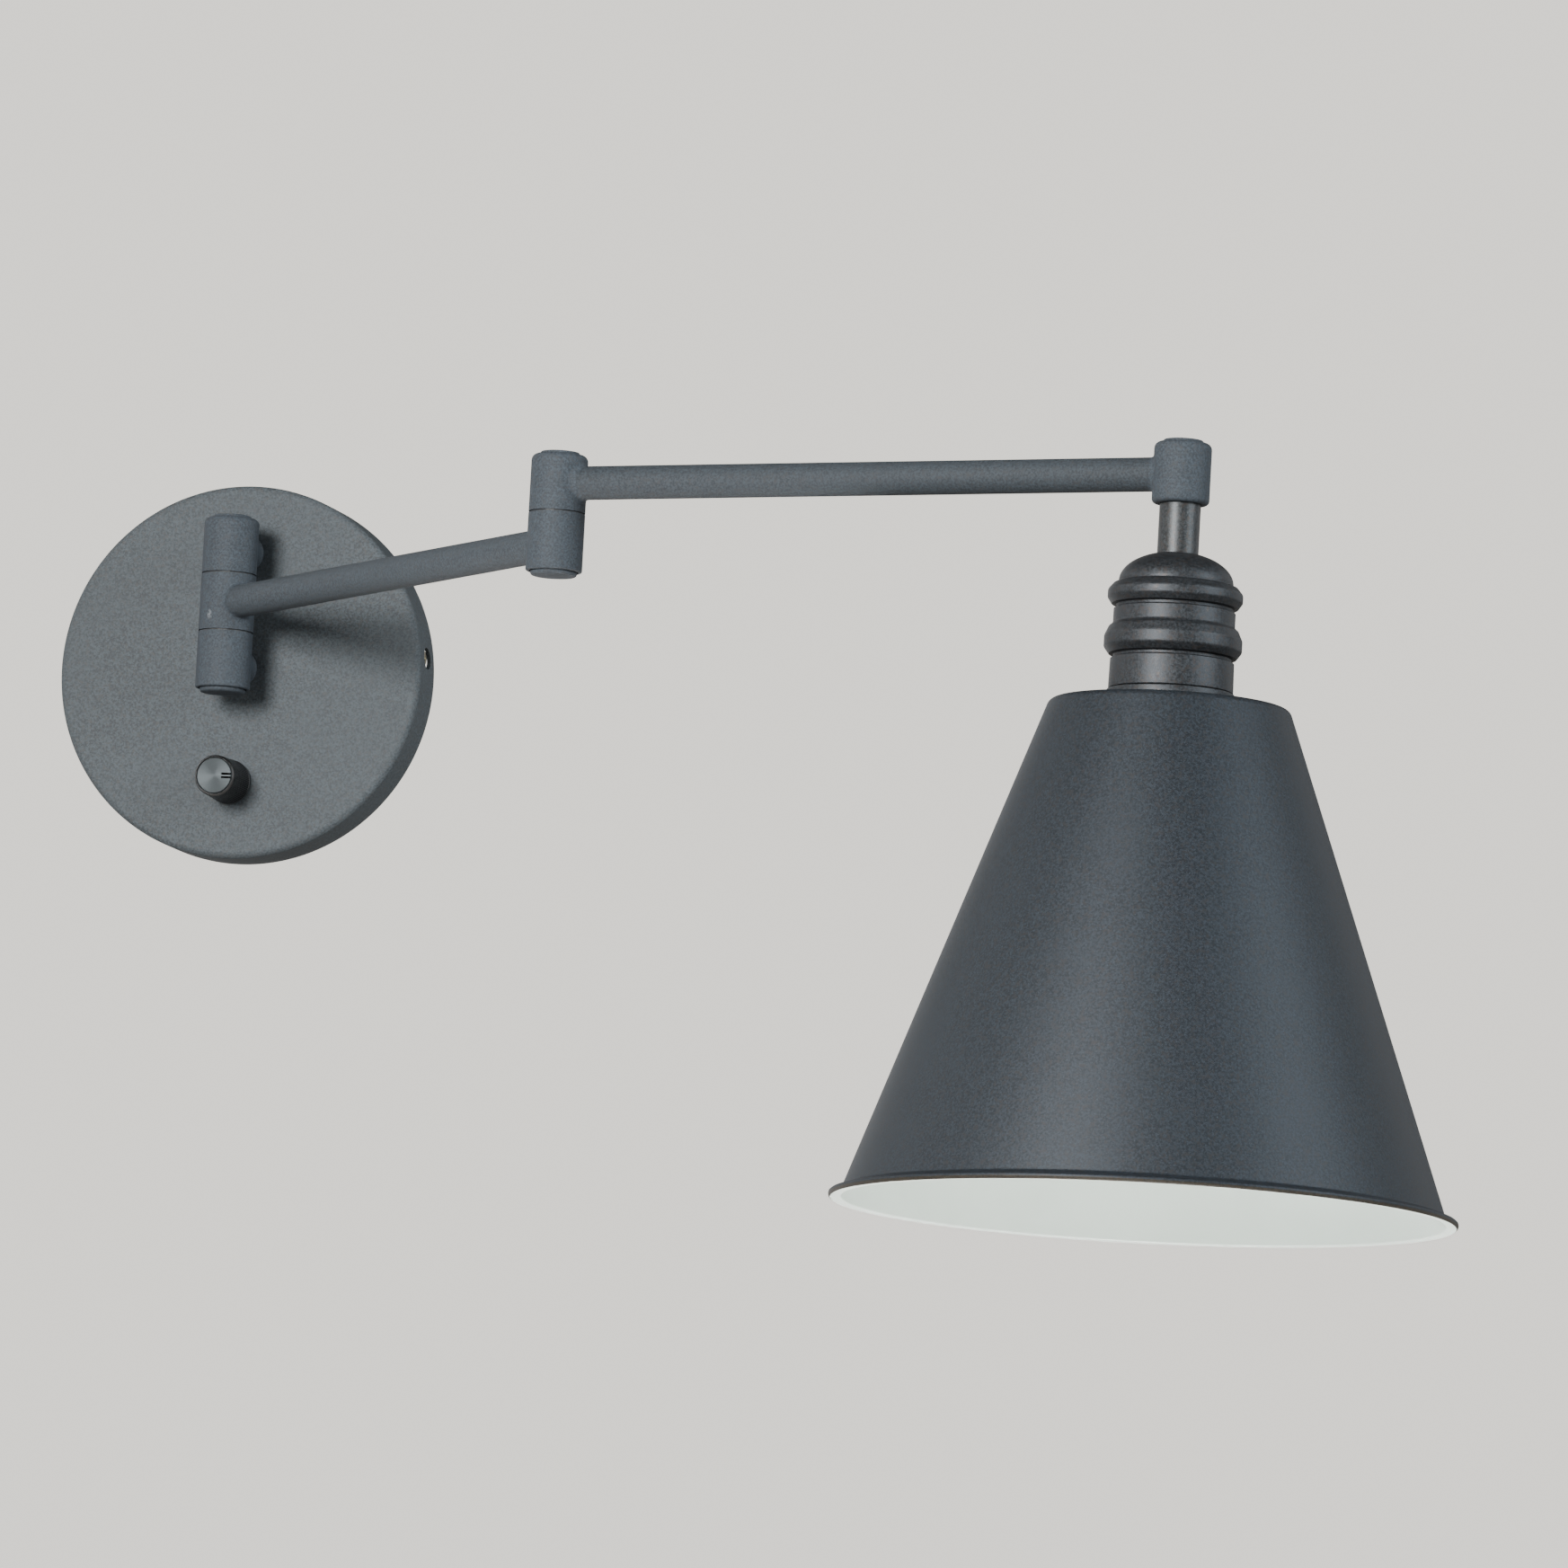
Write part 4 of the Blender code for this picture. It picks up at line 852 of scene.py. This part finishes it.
def build_cup():
    """The turned cup: dome, bead, neck, bead, skirt, with sharp undercuts below both beads."""
    hole, wall = 0.0050, 0.0014
    start = math.degrees(math.acos(0.40))
    dome_radius, dome_base = 0.0173, 0.0046
    dome_rise = DOME_TOP - dome_base + 0.0008
    points = [(hole, DOME_TOP), (0.0064, DOME_TOP)]
    points += arc(0.0, dome_base, dome_radius, dome_rise, start, 4, 20)
    points += rounded(
        [
            (dome_radius, 0.0050),
            (dome_radius - 0.0001, 0.0042, 0.0005),
            (0.0187, 0.0038, 0.0006),
            (UPPER_RING, 0.0018, 0.0016),
            (UPPER_RING, -0.0006, 0.0012),
            (0.0191, -0.0025, 0.0003),
            (0.0176, -0.0027, 0.0002),
            (0.0176, -0.0036, 0.0002),
            (0.0184, -0.0039, 0.0003),
            (0.0184, -0.0084, 0.0012),
            (0.0196, -0.0094, 0.0012),
            (LOWER_RING, -0.0122, 0.0020),
            (LOWER_RING, -0.0156, 0.0014),
            (0.0193, -0.0177, 0.0003),
            (0.0178, -0.0179, 0.0002),
            (0.0178, -0.0188, 0.0002),
            (0.0187, -0.0191, 0.0003),
            (CUP_RADIUS, CUP_BOTTOM + 0.0015),
            (CUP_RADIUS, CUP_BOTTOM, 0.0003),
            (CUP_RADIUS - wall, CUP_BOTTOM, 0.0003),
            (CUP_RADIUS - wall, -0.0050),
        ],
        6,
    )
    points += arc(0.0, dome_base, dome_radius - wall, dome_rise - wall, 0, start + 6, 8)
    points += [(hole, DOME_TOP - wall)]
    cup = lathe("socket_cup_fine", points, GUNMETAL, HEAD, 160, closed=True)
    show(cup, "shade_head", "gunmetal", "socket_cup")
    top, low = CUP_BOTTOM - 0.00015, SHADE_TOP + 0.00012
    corners = [
        (HOLDER_RADIUS + 0.0002, top),
        (COLLAR_RADIUS, top, 0.0004),
        (COLLAR_RADIUS, low, 0.0003),
        (HOLDER_RADIUS + 0.0002, low),
    ]
    collar = lathe("cup_collar_fine", rounded(corners, 5), GUNMETAL, HEAD, 160, closed=True)
    show(collar, "shade_head", "gunmetal", "cup_collar")


def build_lampholder():
    """The E26/E27 holder: phenolic body, threaded shell and the shade's ring."""
    insulator_top = HOLDER_TOP - 0.0105
    wire_hole = 0.0024
    corners = [
        (0.0050, HOLDER_TOP),
        (0.0120, HOLDER_TOP, 0.0006),
        (HOLDER_RADIUS, HOLDER_TOP - 0.0025, 0.0006),
        (HOLDER_RADIUS, HOLDER_BOTTOM, 0.0005),
        (HOLDER_BORE, HOLDER_BOTTOM, 0.0005),
        (HOLDER_BORE, insulator_top),
        (wire_hole, insulator_top),
    ]
    profile = rounded(corners, 4)

    ring_pitch, ring_depth = 0.0022, 0.0003

    def outer_thread(radius, height, angle):
        if radius > HOLDER_BORE + 0.0008 and HOLDER_BOTTOM + 0.002 < height < HOLDER_TOP - 0.030:
            return radius - ring_depth * (0.5 + 0.5 * math.sin(angle + math.tau * height / ring_pitch))
        return radius

    dense = densified(profile, 0.0004)
    body = lathe("lampholder_fine", dense, PHENOLIC, HEAD, 96, closed=True, shape=outer_thread)
    show(body, "shade_head", "black_plastic", "lampholder_body")
    high, low = height_of("screw_shell")[1], height_of("screw_shell")[0]
    rows = 60
    heights = [high + (low - high) * k / rows for k in range(rows + 1)]
    outer = [(THREAD_RADIUS + SHELL_WALL, level) for level in heights]
    inner = [(THREAD_RADIUS, level) for level in reversed(heights)]

    def thread(radius, height, angle):
        return radius + THREAD_DEPTH * math.sin(angle + math.tau * height / THREAD_PITCH)

    shell = lathe("screw_shell_fine", outer + inner, BRASS, HEAD, 96, closed=True, shape=thread, sharp=70)
    show(shell, "shade_head", "brass", "screw_shell")
    top, bottom = height_of("shade_ring")[1], height_of("shade_ring")[0]

    grip_count, grip_depth = 24, 0.0004

    def grips(radius, height, angle):
        if radius > RING_RADIUS - 0.0005 and bottom + 0.0008 < height < top - 0.0004:
            return radius - grip_depth * (0.5 - 0.5 * math.cos(grip_count * angle)) ** 2
        return radius

    corners = [
        (HOLDER_RADIUS + 0.0002, top),
        (RING_RADIUS, top, 0.0004),
        (RING_RADIUS, bottom, 0.0008),
        (HOLDER_RADIUS + 0.0002, bottom, 0.0003),
    ]
    profile = densified(rounded(corners, 5), 0.0010)
    ring = lathe("shade_ring_fine", profile, BLACK, HEAD, 192, closed=True, shape=grips, sharp=50)
    show(ring, "shade_head", "black_plastic", "shade_ring")


def densified(points, step):
    """The same profile with points added along its long straights."""
    found = [points[0]]
    for start, end in zip(points, points[1:]):
        count = max(1, int(math.dist(start, end) / step))
        for k in range(1, count + 1):
            part = k / count
            found.append((start[0] + (end[0] - start[0]) * part, start[1] + (end[1] - start[1]) * part))
    return found


def build_shade():
    """The spun shade: flat top, round shoulder, straight cone and an outward lip, white inside."""
    cone_r, cone_z = CONE_END
    neck = HOLDER_RADIUS + 0.0004
    lip = RIM_RADIUS - cone_r
    outer = rounded(
        [
            (neck, SHADE_TOP),
            (SHOULDER, SHADE_TOP, SHOULDER_EDGE),
            (cone_r, cone_z),
        ],
        14,
    )
    outer += arc(cone_r + lip, cone_z - 0.0002, lip, 0.0016, 188, 256, 10)
    outer += [(RIM_RADIUS - 0.0005, cone_z - 0.00185), (RIM_RADIUS - 0.0001, cone_z - 0.0022)]
    edge_step = len(outer) + 1
    outer += [(RIM_RADIUS, SHADE_BOTTOM + 0.0013)]
    outer += arc(RIM_RADIUS - 0.0008, SHADE_BOTTOM + 0.0010, 0.0008, 0.0010, 0, -90, 6)
    slope = math.atan2(cone_r - SHOULDER, SHADE_TOP - cone_z)
    off_r, off_z = SHADE_WALL * math.cos(slope), SHADE_WALL * math.sin(slope)
    turn_r = cone_r - off_r + (cone_z - off_z - SHADE_BOTTOM) * math.tan(slope)
    inner = rounded(
        [
            (RIM_RADIUS - 0.0012, SHADE_BOTTOM),
            (turn_r, SHADE_BOTTOM + 0.0002, 0.0006),
            (SHOULDER - off_r, SHADE_TOP - SHADE_WALL, SHOULDER_EDGE - SHADE_WALL),
            (neck, SHADE_TOP - SHADE_WALL),
        ],
        10,
    )
    white_step = len(outer) - 2
    others = ((edge_step, SHADE_EDGE), (white_step, WHITE))
    shade = lathe("shade_fine", outer + inner, SHADE_METAL, HEAD, 288, closed=True, others=others)
    show(shade, "shade_head", "gunmetal", "shade")


def dress_nodes():
    """The CAD nodes that stay on show take their finished materials."""
    dressed = {
        ZINC: [
            "mounting_strap",
            "stud_nut_upper",
            "stud_nut_lower",
            "stud_washer_upper",
            "stud_washer_lower",
            "dimmer_nut",
            "cup_nut",
        ],
        BRASS: ["wall_pivot_tube", "elbow_pivot_tube", "end_joint_nut", "dimmer_shaft", "centre_contact"],
        NYLON: ["wall_washer_upper", "wall_washer_lower", "elbow_washer", "end_joint_washer"],
        INSULATOR: ["contact_insulator"],
        PHENOLIC: ["dimmer_case", "wire_connector_left", "wire_connector_right", "wire_connector_earth"],
        INSULATION: ["canopy_lead", "dimmer_lead", "arm_1_lead", "arm_2_lead", "stem_lead"],
        EARTH: ["earth_lead", "earth_screw"],
    }
    for material, names in dressed.items():
        for name in names:
            for place in frame["nodes"][name].material_slots:
                place.material = material


# --- Room, light and camera ---

CAMERA_PLACE = (1.5230764, -4.9074798, -0.6592224)
CAMERA_YAW = 0.2676398
CAMERA_PITCH = 0.1229833
CAMERA_ROLL = 0.0554381
LENS = 371.757
SENSOR = 36.0
AMBIENT = 0.13
BACKDROP = (1.33, 1.29, 1.20, 1.0)
FLOOR_RADIUS = 11.0
FLOOR_LEVEL = -2.7
FLOOR_GLOW = 0.36
FLOOR_PALER = 0.60


def build_camera():
    """A long lens from far off, a little below the lamp and to its right, rolled by 3 degrees."""
    ahead = Vector(
        (
            -math.sin(CAMERA_YAW) * math.cos(CAMERA_PITCH),
            math.cos(CAMERA_YAW) * math.cos(CAMERA_PITCH),
            math.sin(CAMERA_PITCH),
        )
    )
    right = Vector((math.cos(CAMERA_YAW), math.sin(CAMERA_YAW), 0.0))
    up = right.cross(ahead)
    cosine, sine = math.cos(CAMERA_ROLL), math.sin(CAMERA_ROLL)
    right, up = cosine * right + sine * up, cosine * up - sine * right
    data = bpy.data.cameras.new("camera")
    data.lens = LENS
    data.sensor_width = SENSOR
    data.clip_end = 100.0
    camera = bpy.data.objects.new("camera", data)
    bpy.context.scene.collection.objects.link(camera)
    turn = Matrix((right, up, -ahead)).transposed().to_4x4()
    camera.matrix_world = Matrix.Translation(CAMERA_PLACE) @ turn
    bpy.context.scene.camera = camera


def add_softbox(name, aim, azimuth, elevation, distance, width, height, watts, colour, spread):
    """An area light aimed at a point. Azimuth 0 is in front of the wall and 90 is to the right.

    Angles are in degrees, and spread is the full angle of its beam.
    """
    turn, rise = math.radians(azimuth), math.radians(elevation)
    away = Vector((math.sin(turn) * math.cos(rise), -math.cos(turn) * math.cos(rise), math.sin(rise)))
    data = bpy.data.lights.new(name, "AREA")
    data.shape = "RECTANGLE"
    data.size = width
    data.size_y = height
    data.energy = watts
    data.color = colour
    data.spread = math.radians(spread)
    light = bpy.data.objects.new(name, data)
    bpy.context.scene.collection.objects.link(light)
    light.location = Vector(aim) + away * distance
    light.rotation_euler = (-away).to_track_quat("-Z", "Y").to_euler()
    light.visible_camera = False


def build_lights():
    """A softbox in front, windows at both sides, two lights behind and narrow ones from below."""
    middle = (0.20, -0.12, -0.05)
    in_shade = (END_AXIS.x, END_AXIS.y, -0.1)
    elbow = (0.125, -0.16, 0.02)
    white, daylight = (1.0, 1.0, 1.0), (0.90, 0.96, 1.0)
    warm, warmer, warmest = (1.0, 0.99, 0.97), (1.0, 0.97, 0.93), (1.0, 0.90, 0.82)
    wide = 180
    softboxes = (
        # name, aim, azimuth, elevation, distance, width, height, watts, colour, spread
        ("key", middle, -12.5, 10.0, 2.3, 0.72, 0.72, 21.0, warm, 70),
        ("window", middle, 77.0, 18.0, 2.4, 1.1, 1.4, 65.0, daylight, wide),
        ("left", middle, -82.0, 20.0, 2.4, 1.4, 1.4, 18.0, white, wide),
        ("bounce", in_shade, 10.0, -89.0, 0.8, 0.2, 0.2, 0.50, warmer, 22),
        ("arm_bounce", elbow, 10.0, -88.0, 0.9, 0.1, 0.1, 0.09, warmest, 16),
        ("back_left", middle, -132.0, 5.0, 2.4, 2.4, 2.4, 19.0, white, wide),
        ("back_right", middle, 140.0, 15.0, 2.4, 1.6, 2.0, 10.5, white, wide),
    )
    for softbox in softboxes:
        add_softbox(*softbox)


def build_world():
    """A pale room: bright behind the lamp, and only a little light from all round."""
    world = bpy.data.worlds.new("room")
    world.use_nodes = True
    nodes, links = world.node_tree.nodes, world.node_tree.links
    fill = nodes["Background"]
    fill.inputs["Color"].default_value = (1.0, 0.99, 0.97, 1.0)
    fill.inputs["Strength"].default_value = AMBIENT
    seen = nodes.new("ShaderNodeBackground")
    seen.inputs["Color"].default_value = BACKDROP
    path = nodes.new("ShaderNodeLightPath")
    choice = nodes.new("ShaderNodeMixShader")
    links.new(path.outputs["Is Camera Ray"], choice.inputs["Fac"])
    links.new(fill.outputs["Background"], choice.inputs[1])
    links.new(seen.outputs["Background"], choice.inputs[2])
    links.new(choice.outputs["Shader"], nodes["World Output"].inputs["Surface"])
    bpy.context.scene.world = world


def build_floor():
    """A plain pale floor well below the lamp, which looks paler than the light it gives."""
    paint = Paint("floor_paint")
    cloud = paint.noise(2.0, 3.0)
    paint.colour(paint.mix(paint.spread(cloud, 0.3, 0.7), (0.76, 0.75, 0.73), (0.80, 0.79, 0.77)))
    paint.set(Roughness=0.8, Emission_Color=(1.0, 0.96, 0.91, 1.0))
    path = paint.nodes.new("ShaderNodeLightPath")
    seen = paint.math("MULTIPLY", path.outputs["Is Camera Ray"], FLOOR_PALER)
    paint.links.new(paint.math("ADD", seen, FLOOR_GLOW), paint.shader.inputs["Emission Strength"])
    form = bmesh.new()
    bmesh.ops.create_circle(form, cap_ends=True, segments=96, radius=FLOOR_RADIUS)
    floor = finish_mesh("floor", form, Matrix.Translation((0, 0, FLOOR_LEVEL)), [paint.material])


build_canopy()
build_wall_lugs()
build_side_screws()
build_knob()
build_arm_1()
build_arm_2()
build_stem()
build_cup()
build_lampholder()
build_shade()
dress_nodes()
build_floor()
build_lights()
build_world()
build_camera()

bpy.context.view_layer.update()
